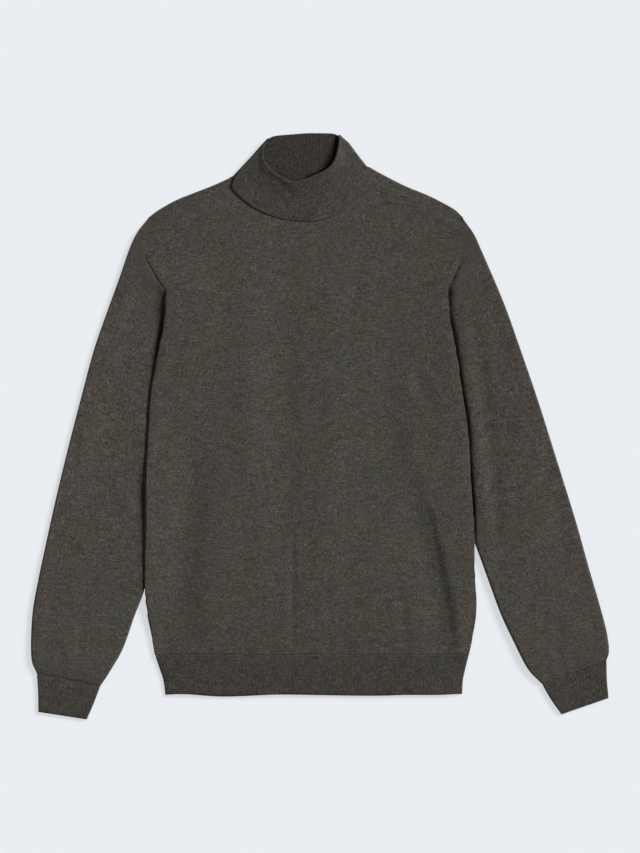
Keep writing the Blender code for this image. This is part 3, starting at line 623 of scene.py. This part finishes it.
def panelPlace(topEdge, height, look):
    leftTip, rightTip = body["armholes"][-1][1:]
    columns = look["grid"][0]
    foldColumns = look["foldColumns"]
    foldShare = foldColumns / columns

    def place(u, v):
        inFold = max(foldColumns - min(u, 1 - u) * columns, 0)
        share = min(max((u - foldShare) / (1 - 2 * foldShare), 0), 1)
        share = spread(share, look["crowding"])
        y = mix(body["hemSeam"], topEdge(mix(leftTip, rightTip, share)), v)
        edgeY = min(y, body["tip"])
        x = mix(sideEdge(edgeY, left), sideEdge(edgeY, right), share)
        z = height(x, y)
        knitX = x
        shade = paintedFrontShade(x, y)
        x += unevenSide(y, share)
        if inFold > 0.01:
            # the first half of the fold turns over the edge, the second drops to the back
            side = -1 if u < 0.5 else 1
            folded = inFold / foldColumns
            angle = min(2 * folded, 1) * math.pi / 2
            radius = body["sideRadius"]
            inset, tipInset, tipFrom = body["sideInset"]
            low = liftAt(x, y) + body["cloth"] + 0.15
            z = mix(z - radius * (1 - math.cos(angle)), low, max(2 * folded - 1, 0))
            knitX = x + side * inFold * 0.8
            # painted shade on the side fold as it turns under
            shade += frontLook["foldShade"] * ease(0.2, 1, folded)
            inset = mix(inset, tipInset, ease(tipFrom, body["tip"], y))
            x += side * radius * (math.sin(angle) - inset)
        return x, y, z, knitX, y, shade

    return place


front = layGrid("front_panel", *frontLook["grid"], panelPlace(frontTop, frontHeight, frontLook))
thicken(front, frontLook["wall"])
dress(front, jerseyWool, "front")
print("front laid")

back = layGrid("back_panel", *backLook["grid"], panelPlace(backTop, backHeight, backLook))
thicken(back, backLook["wall"], edgeRound=backLook["edgeRound"])
dress(back, jerseyWool, "back")
print("back laid")


hemLook = {
    "frontGrid": (460, 22),  # columns and rows
    "backGrid": (330, 12),
    "seam": -307.4,
    "bottom": [
        (-208.7, -361.8), (-192, -360.8), (-176, -361.1), (-158, -362.6), (-140, -363.9),
        (-122, -364.1), (-98, -363.2), (-64, -361.5), (-38, -361.4), (0, -362.1),
        (52, -362.9), (88, -362.8), (112, -361.9), (160, -361.8), (182, -360.8),
        (191.8, -360.6),
    ],
    "crowding": 0.25,
    "width": 410,
    "ribPitch": 5,
    "ribHeight": 0.22,
    "backRibHeight": 0.3,
    "cloth": 1.9,
    "wall": 1.7,
    "backWall": 1.6,
    "layerGap": 0.4,
    "air": 1.2,
    "unrest": 0.16 / 0.42,  # how high, as a share of the slow unevenness
    "pucker": 0.22,
    "creaseShare": 0.3,  # how much of the front's folds runs on into the rib
    "sideRound": (1.1, 3.5),
    "bottomRound": (0.55, 2.4),
    "bottomEdge": -362.7,
    # the whole hem a little darker, with painted shade along the seam
    "shade": 0.04,
    "seamShade": 0.04,
}


# a rounded rib with a narrow valley beside it, from 0 to 1
def ribShape(turn):
    part = turn - math.floor(turn)
    return 1 - abs(2 * part - 1) ** 2.4


def hemPlan(u, v):
    lowX = mix(hemLook["bottom"][0][0], hemLook["bottom"][-1][0], u)
    y = mix(curveAt(hemLook["bottom"], lowX), hemLook["seam"], v)
    edgeY = max(y, body["sides"][0][0])
    return mix(sideEdge(edgeY, left), sideEdge(edgeY, right), u), y


def hemFrontPlace(u, v):
    share = spread(u, hemLook["crowding"])
    x, y = hemPlan(share, v)
    knitX = share * hemLook["width"]
    fromSide = min(share, 1 - share) * hemLook["width"]
    fromSeam = hemLook["seam"] - y
    z = 2 * hemLook["cloth"] + hemLook["layerGap"] + hemLook["air"] * ease(-4, 26, fromSide)
    z += hemLook["unrest"] * restless(x, y, 5)
    z += hemLook["pucker"] * noise.noise(Vector((x / 17, y / 40, 9)))
    folds = creaseHeight(frontLook["creases"], x, y)
    z += folds * hemLook["creaseShare"] * ease(-330, -304, y)
    z += hemLook["ribHeight"] * (ribShape(knitX / hemLook["ribPitch"]) - 0.7)
    z -= roundedOff(*hemLook["sideRound"], fromSide)
    z -= roundedOff(*hemLook["bottomRound"], y - hemLook["bottomEdge"])
    z = mix(frontHeight(x, body["hemSeam"]) + 0.05, z, ease(0, 14, fromSeam))
    return x, y, z, knitX, y, hemLook["shade"] + hemLook["seamShade"] * fade(0.5, 9, fromSeam)


def hemBackPlace(u, v):
    x, y = hemPlan(u, v)
    knitX = u * hemLook["width"]
    rib = hemLook["backRibHeight"] * (ribShape(knitX / hemLook["ribPitch"]) - 1)
    return x, y, hemLook["cloth"] + rib, knitX, y, 0


hemFront = layGrid("hem_rib_front", *hemLook["frontGrid"], hemFrontPlace)
thicken(hemFront, hemLook["wall"])
dress(hemFront, ribWool, "hem_front")

hemBack = layGrid("hem_rib_back", *hemLook["backGrid"], hemBackPlace)
thicken(hemBack, hemLook["backWall"])
dress(hemBack, ribWool, "hem_back")
print("hem laid")


sleeveLook = {
    left: {
        # the gap beside the body: y, width, how far beyond the sleeve rises, how much painted shade
        # it gets near the body and away from it, how far the painted shade reaches
        "gaps": [
            (-240, 1.5, 3, 0.10, 0.35, 8), (-194, 1.5, 3.5, -0.30, 0.55, 10),
            (-167, 2, 4.5, -0.30, 0.55, 10.5), (-140, 3, 5, -0.20, 0.70, 14),
            (-113, 4.5, 6, -0.15, 0.82, 14), (-86, 4.5, 5.5, 0, 0.90, 13.5),
            (-59, 2.5, 4, -0.20, 0.76, 13), (-32, 1.5, 3, -0.10, 0.45, 10),
            (-5, 1.5, 3, -0.10, 0.30, 9), (22, 1.5, 3, -0.15, -0.05, 8),
            (49, 1.6, 3.2, 0.05, 0.45, 10.5), (76, 1.8, 3.5, 0, 0.65, 11),
            (103, 3.5, 6, 0.60, 0.85, 13), (130, 5.5, 7.5, 0.80, 0.84, 14),
            (157, 6, 9, 0.45, 0.80, 20), (174, 3, 6, 0, 0.62, 16),
            (184, 0.9, 3.5, 0, 0.40, 13), (196, 0.5, 3, 0, 0, 9),
        ],
        "awayFrom": (1.5, 6.5),  # distances over which near turns into away
        "gapEnds": (-236, -206),
        "seamLine": (1.1, 2.9, 0.5, 236),  # at the armhole: depth, width, painted shade and top
        "outerShade": (-0.13, -170, -70),  # painted shade of the outer half between these heights, painted light where negative
        "outerHalf": (0, 0.5),
        "cuffRound": (1, 12),
        "creases": [
            (-246, 214, -300, 46, 4, 18, 30, -1.7),
            (-300, 66, -352, -156, 2, 18, 30, -1.6),
            (-262, 166, -292, 20, 8, 15, 15, 0.5),
            (-276, -30, -296, -200, -4, 16, 16, 0.5),
            (-238, 206, -258, 150, -4, 9, 9, 0.5),
            (-315, -226, -325, -332, -2, 8, 6, 1),
            (-283, -320, -299.5, -347, 1, 3, 2.5, 1),
            (-328, -345, -312, -349, 0, 2.5, 2.5, 0.8),
            (-352, -296, -348, -342, 2, 8, 6, 0.8),
            (-366, -230, -372, -310, 2, 9, 9, 0.5),
            (-272, -258, -290, -318, -3, 9, 8, 0.5),
            (-334, -40, -346, -120, 2, 12, 12, 0.4),
        ],
        "seed": 21,
    },
    right: {
        "gaps": [
            (-172, 1.5, 3, 0, 0, 5), (-142, 1.8, 3, -0.5, 0, 5),
            (-128, 2, 3, 0.40, 0.30, 6), (-113, 2, 3.5, 1, 0.80, 6),
            (-86, 2, 3, 1, 0.65, 5.5), (-59, 2, 3, 0.92, 0.40, 5),
            (-32, 2, 3, 0.86, 0.40, 5), (-5, 2, 3, 0.80, 0.60, 6.5),
            (22, 2, 3.5, 0.95, 0.75, 7), (49, 2, 3.2, 0.93, 0.70, 6),
            (76, 2, 3, 0.96, 0.70, 5.5), (103, 2, 3, 0.95, 0.65, 6),
            (130, 2, 3.5, 0.88, 0.60, 13), (147, 2, 4, 0.10, 0.45, 12),
            (157, 1.6, 4, -0.5, 0.20, 11), (170, 1.2, 4.5, -0.3, 0.35, 12),
            (184, 0.9, 5, 0, 0.48, 13), (196, 0.5, 5, 0, 0.10, 9),
        ],
        "awayFrom": (0.5, 4.5),
        "gapEnds": (-168, -138),
        "seamLine": (1.8, 4.2, 0.8, 246),
        "outerShade": (0.055, -70, 40),
        "outerHalf": (0.45, 0.8),
        "cuffRound": (0.8, 4.5),
        "creases": [
            (190, 172, 225, -136, -2, 9, 9, -1.5),
            (212, 128, 244, -206, 2, 9, 10, 1.3),
            (258, 40, 300, -214, 3, 28, 28, -1.1),
            (236, 150, 268, 30, 2, 13, 13, 0.5),
            (310, -60, 338, -190, -4, 15, 15, 0.5),
            (318, -262, 331, -340, -3, 9, 8, 0.8),
            (340, -300, 349, -334, -2, 7, 5, 0.7),
            (301, -306, 313, -346, 2, 7, 6, 0.5),
            (308, -342, 336, -333.5, 0, 2.5, 2.5, 1),
            (341, -331, 353, -326, 0, 2.5, 2.5, 0.9),
            (364, -236, 374, -306, -2, 8, 8, 0.5),
            (206, 226, 226, 160, 3, 10, 10, 0.5),
        ],
        "seed": 33,
    },
    "grid": (136, 236),
    "evenness": 0.25,  # of its columns, the rest crowd towards both folds
    "length": 640,
    "wall": 1.4,
    "levelling": (175, 190),  # at the underarm it comes up to the front
    "fitRows": 3,  # rows of the table over which its end is fitted to the armhole
    "underFront": 1.2,  # how far that end lies inside the armhole's edge
    "sewnReach": (4, 34),
    "mouthRound": (0.35, 2.7),
    "stillAtCuff": (0.6, 22),  # the share of its folds left at the cuff, and the length
    "gather": 0.3,
    "gatherPitch": 11,
    "gatherEnds": (4, 30),
    # painted shade up the shoulder
    "shoulderShade": 0.05,
}


def armholeBulge(side, share):
    outerX, outerY, innerX, innerY = sleeves[side][0][:4]
    edge = sideEdge(mix(outerY, innerY, share), side) - outward[side] * sleeveLook["underFront"]
    return edge - mix(outerX, innerX, share)


# the row of a tube's table at v, and how wide the tube is there
def tubeRow(rows, v):
    row = [rowAt(rows, v, column) for column in range(5)]
    return *row, math.hypot(row[2] - row[0], row[3] - row[1])


# where a tube's column lies: its share of the width from the outer fold, and if on top
def tubeColumn(u, side, evenness):
    turn = 1 - u if side == left else u
    share = 1 - abs(2 * turn - 1)
    rounded = 0.5 - 0.5 * math.cos(math.pi * share)
    return evenness * share + (1 - evenness) * rounded, turn < 0.5


# how far a flat tube has opened, in a half circle from each fold
def tubeSwell(across, width, height):
    reach = min(min(across, 1 - across) * width / (height / 2), 1)
    return math.sqrt(max(1 - (1 - reach) ** 2, 0))


def sleevePlace(side):
    rows = sleeves[side]
    look = sleeveLook[side]
    length = sleeveLook["length"]

    # painted shade of the sleeve in the gap, up the shoulder and on its outer half, painted light
    # where negative
    def shadeAt(across, y, outside, nearDark, farDark, darkReach, ends):
        dark = mix(nearDark, farDark, ease(*look["awayFrom"], outside))
        dark *= fade(3, darkReach, outside) * ends
        dark += sleeveLook["shoulderShade"] * ease(130, 250, y)
        amount, low, high = look["outerShade"]
        outer = fade(*look["outerHalf"], across) * ease(low, high, y) * fade(180, 230, y)
        return dark + amount * outer

    def place(u, v):
        across, upper = tubeColumn(u, side, sleeveLook["evenness"])
        outerX, outerY, innerX, innerY, height, width = tubeRow(rows, v)
        fit = max(1 - v * (len(rows) - 1) / sleeveLook["fitRows"], 0)
        x = mix(outerX, innerX, across) + armholeBulge(side, across) * fit
        y = mix(outerY, innerY, across)
        fromMouth = v * length
        fromCuff = (1 - v) * length
        edge = sideEdge(min(y, body["tip"]), side)
        outside = (x - edge) * outward[side]
        gap, rise, *darks = (curveAt(look["gaps"], y, column) for column in range(1, 6))
        ends = ease(*look["gapEnds"], y)
        sewn = ease(*sleeveLook["levelling"], y)
        level = max(ease(0.6 * gap, gap + rise, outside), 1 - ends, sewn)
        shade = shadeAt(across, y, outside, *darks, ends)
        levelHeight = mix(body["tucked"], height, level)
        top = levelHeight
        if upper:
            free = level * ease(2, 22, min(across, 1 - across) * width)
            still, stillReach = sleeveLook["stillAtCuff"]
            folds = creaseHeight(look["creases"], x, y) + restless(x, y, look["seed"])
            top += folds * free * mix(still, 1, ease(0, stillReach, fromCuff))
            pitched = across * width / sleeveLook["gatherPitch"]
            ripple = noise.noise(Vector((pitched, v * 9, look["seed"])))
            gathered = fade(*sleeveLook["gatherEnds"], fromCuff)
            top += sleeveLook["gather"] * ripple * free * gathered
            top -= roundedOff(*look["cuffRound"], fromCuff)
            if sewn > 0:
                joined = sewn * fade(*sleeveLook["sewnReach"], outside)
                top = mix(top, frontHeight(edge, y) + 0.06, joined)
                lineDepth, lineWidth, lineShade, lineTop = look["seamLine"]
                broken = 0.8 + 0.7 * noise.noise(Vector((y / 7, 0, 80)))
                line = math.exp(-(max(outside, 0) / lineWidth) ** 2)
                line *= fade(203, lineTop, y) * broken
                mouthDrop, mouthLength = sleeveLook["mouthRound"]
                top -= lineDepth * line + mouthDrop * max(1 - fromMouth / mouthLength, 0)
                shade = max(shade, lineShade * line * sewn)
        foldHeight = levelHeight if across > 0.5 else height
        swell = tubeSwell(across, width, foldHeight)
        z = mix(foldHeight / 2, top if upper else 0, swell)
        knitX = (across if upper else 2 - across) * width * outward[side]
        return x, y, z, knitX, -fromMouth, shade

    return place


def makeSleeve(name, side, node):
    piece = layGrid(name, *sleeveLook["grid"], sleevePlace(side))
    joinEnds(piece)
    thicken(piece, sleeveLook["wall"])
    dress(piece, jerseyWool, node)


makeSleeve("sleeve_left_tube", left, "sleeve_left")
makeSleeve("sleeve_right_tube", right, "sleeve_right")
print("sleeves laid")


cuffLook = {
    # from the sleeve to the wrist, as the sleeves are given
    left: [
        (-381.9, -333, -296.5, -350.7, 5.6), (-380.3, -358.4, -305.6, -374.6, 5.3),
        (-380, -384.8, -314.4, -394.9, 5),
    ],
    right: [
        (386.5, -316, 299.5, -347.6, 5.6), (387, -341, 311.3, -367.9, 5.3),
        (389.2, -366, 325.5, -388.1, 5),
    ],
    "grid": (264, 24),
    "evenness": 0.45,
    "length": 56,
    "wall": 1.6,
    "ribs": 17,
    "ribHeight": 0.2,
    "lap": (1.3, 0.08),  # how far it reaches into the sleeve, and over what share
    "unevenness": 0.3,
    "wristRound": (0.6, 2.2),
    # painted shade where the cuff meets the sleeve
    "seamShade": 0.06,
}


def cuffPlace(side):
    rows = cuffLook[side]
    length = cuffLook["length"]

    def place(u, v):
        across, upper = tubeColumn(u, side, cuffLook["evenness"])
        outerX, outerY, innerX, innerY, height, width = tubeRow(rows, v)
        lapReach, lapShare = cuffLook["lap"]
        lap = lapReach * max(1 - v / lapShare, 0)
        x = mix(outerX, innerX, across) - outward[side] * 0.2 * lap
        y = mix(outerY, innerY, across) + lap
        height -= 0.5 * lap
        swell = tubeSwell(across, width, height)
        rib = cuffLook["ribHeight"] * (ribShape(across * cuffLook["ribs"]) - 1)
        uneven = cuffLook["unevenness"] * noise.noise(Vector((x / 20, y / 26, 40)))
        top = height + rib + uneven * swell
        top -= roundedOff(*cuffLook["wristRound"], (1 - v) * length)
        z = mix(height / 2, top if upper else 0, swell)
        knitX = (across if upper else 2 - across) * width * outward[side]
        return x, y, z, knitX, -v * length, cuffLook["seamShade"] * fade(0, 7, v * length)

    return place


def makeCuff(name, side, node):
    piece = layGrid(name, *cuffLook["grid"], cuffPlace(side))
    joinEnds(piece)
    thicken(piece, cuffLook["wall"])
    dress(piece, ribWool, node)


makeCuff("cuff_left_rib", left, "cuff_left")
makeCuff("cuff_right_rib", right, "cuff_right")
print("cuffs laid")


collarLook = {
    # fold x, y, the turned-down part's end x, y, how high the fold stands, how far the end lifts
    "back": [
        (-70.5, 387.2, -115.5, 334.6, 0, 0), (-60.6, 391.2, -97, 332, 0, 0),
        (-40.4, 393.2, -64, 332.6, 0, 0), (-17.4, 394.9, -27, 334.4, 0, 0),
        (4, 394.9, 8, 337.5, 0, 0), (17, 394.4, 36, 341.8, 0, 0),
        (25.4, 391.6, 59, 348.9, 0, 0),
    ],
    "front": [
        (-70.5, 387.2, -115.5, 334.6, 0, 0), (-76, 374, -118, 319.3, 2.2, -0.4),
        (-75.5, 359.5, -104, 305.4, 4.2, -0.2), (-66, 345.5, -87.5, 293.4, 5.2, -0.4),
        (-52, 335, -67.2, 284.1, 5.4, -1), (-38, 329.5, -47.1, 278, 5.4, -1.2),
        (-23, 331, -26.9, 275.9, 5.6, -1.3), (-8, 336.5, -6.6, 276, 6.4, -1.3),
        (6, 343, 13.6, 280.7, 7.4, -1.4), (16, 351.5, 33.9, 290.9, 8, -1.7),
        (21.5, 362, 50.1, 304.4, 7.6, -2.1), (24.6, 375, 58.2, 320, 5.4, -2.6),
        (25.9, 385, 60, 336, 2.4, -2.8), (25.4, 391.6, 59, 348.9, 0, -2.6),
    ],
    "grid": (476, 58),
    "outsideRows": 0.50,  # share of the rows on the turned-down part
    "foldRows": 0.12,
    "backShare": 0.45,  # share of the columns on the back
    "sideShare": 0.025,
    "backRibs": 34,
    "frontRibs": 40,
    "sideRibs": 2,
    "ribOutside": 0.16,
    "ribFold": 0.2,
    "ribInside": 0.38,
    "height": 9.3,
    "inset": 0.9,  # how far the middle of its outer wall lies below that
    "cloth": 1.5,
    "foldRadius": 1.15,
    "riseLength": 32,
    "knitLength": 400,
    "backTuck": (3, 4),  # of the inner layer at the back, and more in the middle
    "rightBulge": (1.3, 1.45),  # of the sides, and at their lower ends
    "leftBulge": (0.25, 0.05),
    "unrest": 0.5,
    "endRound": (0.35, 2.5),
    # painted shade inside the neck, and more in its rib valleys
    "insideShade": 0.255,
    "insideRibShade": 0.07,
    "rightPaintedLight": 0.145,  # painted light on the turned-down part towards the right shoulder
    # painted shade on the inner half of the fold
    "rimShade": 0.33,
    "paintedRimHighlight": 0.06,  # painted highlight along the front's fold edge
    "rimTurn": (-32, -14),  # x where the painted shadow inside its front edge changes over
    # left and right of there: how much painted shadow, where it begins to fade, where it has gone
    "rimDark": ((0.38, 0.92), (0, 4.2), (4, 8)),
    "creases": [
        (-69, 340, -37, 310, 3, 6.5, 6.5, 1.1),
        (-81, 376, -86.5, 328, 2, 4.5, 4.5, 0.9),
        (-55, 306, -44, 297, 0, 4, 4, 0.6),
        (-40, 321, 2, 328, 2, 8, 7, -0.7),
        (34, 340, 46, 318, -2, 9, 9, 0.4),
        (-98, 338, -104, 318, 0, 7, 7, 0.5),
        (10, 312, 28, 300, -1, 8, 8, 0.35),
        (-20, 306, 10, 302, 0, 9, 9, 0.3),
    ],
}


def collarRow(rows, share):
    return [rowAt(rows, share, column) for column in range(6)]


# a row of the tables, the way the cloth faces, and how many ribs come before
def collarStation(turn):
    backShare = collarLook["backShare"]
    sideShare = collarLook["sideShare"]
    if turn < backShare:
        part = turn / backShare
        roll = collarRow(collarLook["back"], part)
        roll[3] = max(roll[3], backTop(roll[2]) + 0.4)
        return roll, (0, 0, -1), collarLook["backRibs"] * part
    if turn < backShare + sideShare:
        return sideStation(1, collarLook["front"][-1], (turn - backShare) / sideShare)
    if turn < 1 - sideShare:
        part = (turn - backShare - sideShare) / (1 - backShare - 2 * sideShare)
        roll = collarRow(collarLook["front"], 1 - part)
        return roll, (0, 0, 1), collarLook["frontRibs"] * part
    return sideStation(-1, collarLook["back"][0], (turn - 1 + sideShare) / sideShare)


def sideStation(side, roll, part):
    runX = roll[2] - roll[0]
    runY = roll[3] - roll[1]
    length = math.hypot(runX, runY)
    angle = math.radians(mix(-90, 90, part) * side)
    flat = side * math.cos(angle)
    normal = (-runY / length * flat, runX / length * flat, math.sin(angle))
    roll = list(roll)
    roll[5] *= part if side > 0 else 1 - part
    return roll, normal, collarLook["sideRibs"] * part


# how far below the fold the inner layer ends: past the back's neckline, and at the front's
def innerLength(roll, length, normal):
    if normal[2] < -0.9:
        tuck, middleTuck = collarLook["backTuck"]
        inMiddle = ease(-85, -60, roll[2]) * fade(5, 30, roll[2])
        return length + tuck + middleTuck * inMiddle
    if normal[2] < 0.5:
        return length
    low = 0
    high = length
    for _ in range(18):
        middle = (low + high) / 2
        x = mix(roll[0], roll[2], middle / length)
        y = mix(roll[1], roll[3], middle / length)
        if y - 0.5 > frontTop(x):
            low = middle
        else:
            high = middle
    return low


foldSteps = 60
foldPoints = [collarRow(collarLook["front"], step / foldSteps)[:2] for step in range(foldSteps + 1)]


# how far a point inside the neck is from the front's fold, and if it lies by its right half
def fromRim(x, y):
    nearest, nearX = min((math.hypot(x - foldX, y - foldY), foldX) for foldX, foldY in foldPoints)
    return nearest, ease(*collarLook["rimTurn"], nearX)


stations = {}


def stationAt(turn):
    key = round(turn * collarLook["grid"][0])
    if key not in stations:
        roll, normal, ribs = collarStation(min(turn, 1) % 1)
        length = math.hypot(roll[2] - roll[0], roll[3] - roll[1])
        stations[key] = roll, normal, ribs, length, innerLength(roll, length, normal)
    return stations[key]


# along the roll from the end of the turned-down part, over the fold and down the inside:
# how far below the fold, how far off the middle of the outer wall, knit v, and the painted shade
def collarProfile(v, ribs, length, inside, atFront, middleX):
    radius = collarLook["foldRadius"]
    outsideRows = collarLook["outsideRows"]
    foldRows = collarLook["foldRows"]
    rib = ribShape(ribs) - 0.7
    shine = -collarLook["paintedRimHighlight"] if atFront else 0
    if v < outsideRows:
        along = mix(length, radius, v / outsideRows)
        shade = shine * fade(1.5, 9, along)
        shade -= collarLook["rightPaintedLight"] * ease(-30, 40, middleX)
        return along, collarLook["ribOutside"] * rib, along, shade
    if v < outsideRows + foldRows:
        angle = math.pi * (v - outsideRows) / foldRows
        bump = rib * collarLook["ribFold"]
        along = radius - (radius + bump) * math.sin(angle)
        off = (radius + bump) * math.cos(angle) - radius
        shade = mix(shine, collarLook["rimShade"], ease(0.2, 1.3, angle))
        return along, off, -radius * angle, shade
    part = (v - outsideRows - foldRows) / (1 - outsideRows - foldRows)
    along = mix(radius, inside, part)
    off = -2 * radius - collarLook["ribInside"] * rib
    shade = collarLook["insideShade"] + collarLook["insideRibShade"] * (0.3 - rib)
    return along, off, -math.pi * radius - along, shade


def collarPlace(u, v):
    roll, normal, ribs, length, inside = stationAt(1 - u)
    half = collarLook["height"] / 2
    atFront = normal[2] > 0.9
    middleX = mix(roll[0], roll[2], 0.6)
    along, off, knitY, shade = collarProfile(v, ribs, length, inside, atFront, middleX)

    def middle(at):
        stand = max(1 - at / collarLook["riseLength"], 0) ** 2
        return half - collarLook["inset"] + roll[4] * stand + roll[5] * at / length

    climb = middle(along + 0.5) - middle(along - 0.5)
    size = math.hypot(1, climb)
    height = middle(along) + off / size
    reach = along - climb / size * off
    sideBulge = collarLook["rightBulge"] if normal[0] > 0 else collarLook["leftBulge"]
    bulge = mix(0.35, 1, ease(0, 18, along))
    bulge *= mix(*sideBulge, fade(0, 15, length - along))
    x = roll[0] + (roll[2] - roll[0]) / length * reach + normal[0] * height * bulge
    y = roll[1] + (roll[3] - roll[1]) / length * reach + normal[1] * height * bulge
    if atFront and v < collarLook["outsideRows"]:
        fromEnd = length - along
        soft = ease(0, 9, along - collarLook["foldRadius"]) * ease(0, 6, fromEnd)
        uneven = collarLook["unrest"] * restless(x, y, 50)
        height += (creaseHeight(collarLook["creases"], x, y) + uneven) * soft
        height -= roundedOff(*collarLook["endRound"], fromEnd)
    if normal[2] < -0.9 and v >= collarLook["outsideRows"] + collarLook["foldRows"]:
        # painted shadow on the inner back beneath the front's fold
        away, onRight = fromRim(x, y)
        dark, fadeFrom, fadeTo = (mix(*pair, onRight) for pair in collarLook["rimDark"])
        shade = max(shade, dark * fade(fadeFrom, fadeTo, away))
    return x, y, half + normal[2] * height, u * collarLook["knitLength"], knitY, shade


collar = layGrid("roll_collar", *collarLook["grid"], collarPlace)
joinEnds(collar)
thicken(collar, collarLook["cloth"], offset=0)
dress(collar, ribWool, "collar")
print("collar laid")


stageLook = {
    "floorSize": 40,  # metres, as the camera's height and the sun's place
    "floorDrop": 0.2 * mm,
    "floorColour": (0.245, 0.254, 0.264, 1),
    "floorGlow": (0.577, 0.600, 0.623, 1),  # keeps the shadows on the floor faint
    "skyColour": (1, 1, 1, 1),
    "skyStrength": 0.34,
    "sunPlace": (1.2, 0.7, 1.7),
    "sunStrength": 3.95,
    "sunFrom": (0.711, 0.462, 0.530),
    "sunSoftness": 20,
    "cameraHeight": 3,
    "sensorWidth": 36,
    "frameHeight": 853 * 1.35 * mm,  # of what the camera sees
    "sight": 50,
}


def makeFloor():
    place = (0, 0, -stageLook["floorDrop"])
    bpy.ops.mesh.primitive_plane_add(size=stageLook["floorSize"], location=place)
    floor = bpy.context.object
    floor.name = "floor"
    material = bpy.data.materials.new("floor_paint")
    material.use_nodes = True
    shader = material.node_tree.nodes["Principled BSDF"]
    setInputs(shader, {
        "Base Color": stageLook["floorColour"], "Emission Color": stageLook["floorGlow"],
        "Emission Strength": 1, "Roughness": 1, "Specular IOR Level": 0,
    })
    floor.data.materials.append(material)


def makeLights():
    world = bpy.data.worlds.new("studio")
    world.use_nodes = True
    sky = world.node_tree.nodes["Background"]
    setInputs(sky, {"Color": stageLook["skyColour"], "Strength": stageLook["skyStrength"]})
    bpy.context.scene.world = world
    bpy.ops.object.light_add(type="SUN", location=stageLook["sunPlace"])
    sun = bpy.context.object
    sun.data.energy = stageLook["sunStrength"]
    sun.data.angle = math.radians(stageLook["sunSoftness"])
    sun.rotation_euler = Vector(stageLook["sunFrom"]).to_track_quat("Z", "Y").to_euler()


def makeCamera():
    bpy.ops.object.camera_add(location=(0, 0, stageLook["cameraHeight"]))
    camera = bpy.context.object
    magnified = stageLook["cameraHeight"] / stageLook["frameHeight"]
    camera.data.sensor_width = stageLook["sensorWidth"]
    camera.data.lens = stageLook["sensorWidth"] * magnified
    camera.data.clip_end = stageLook["sight"]
    bpy.context.scene.camera = camera


makeFloor()
makeLights()
makeCamera()
bpy.context.scene.view_settings.view_transform = "Standard"
print("stage set")
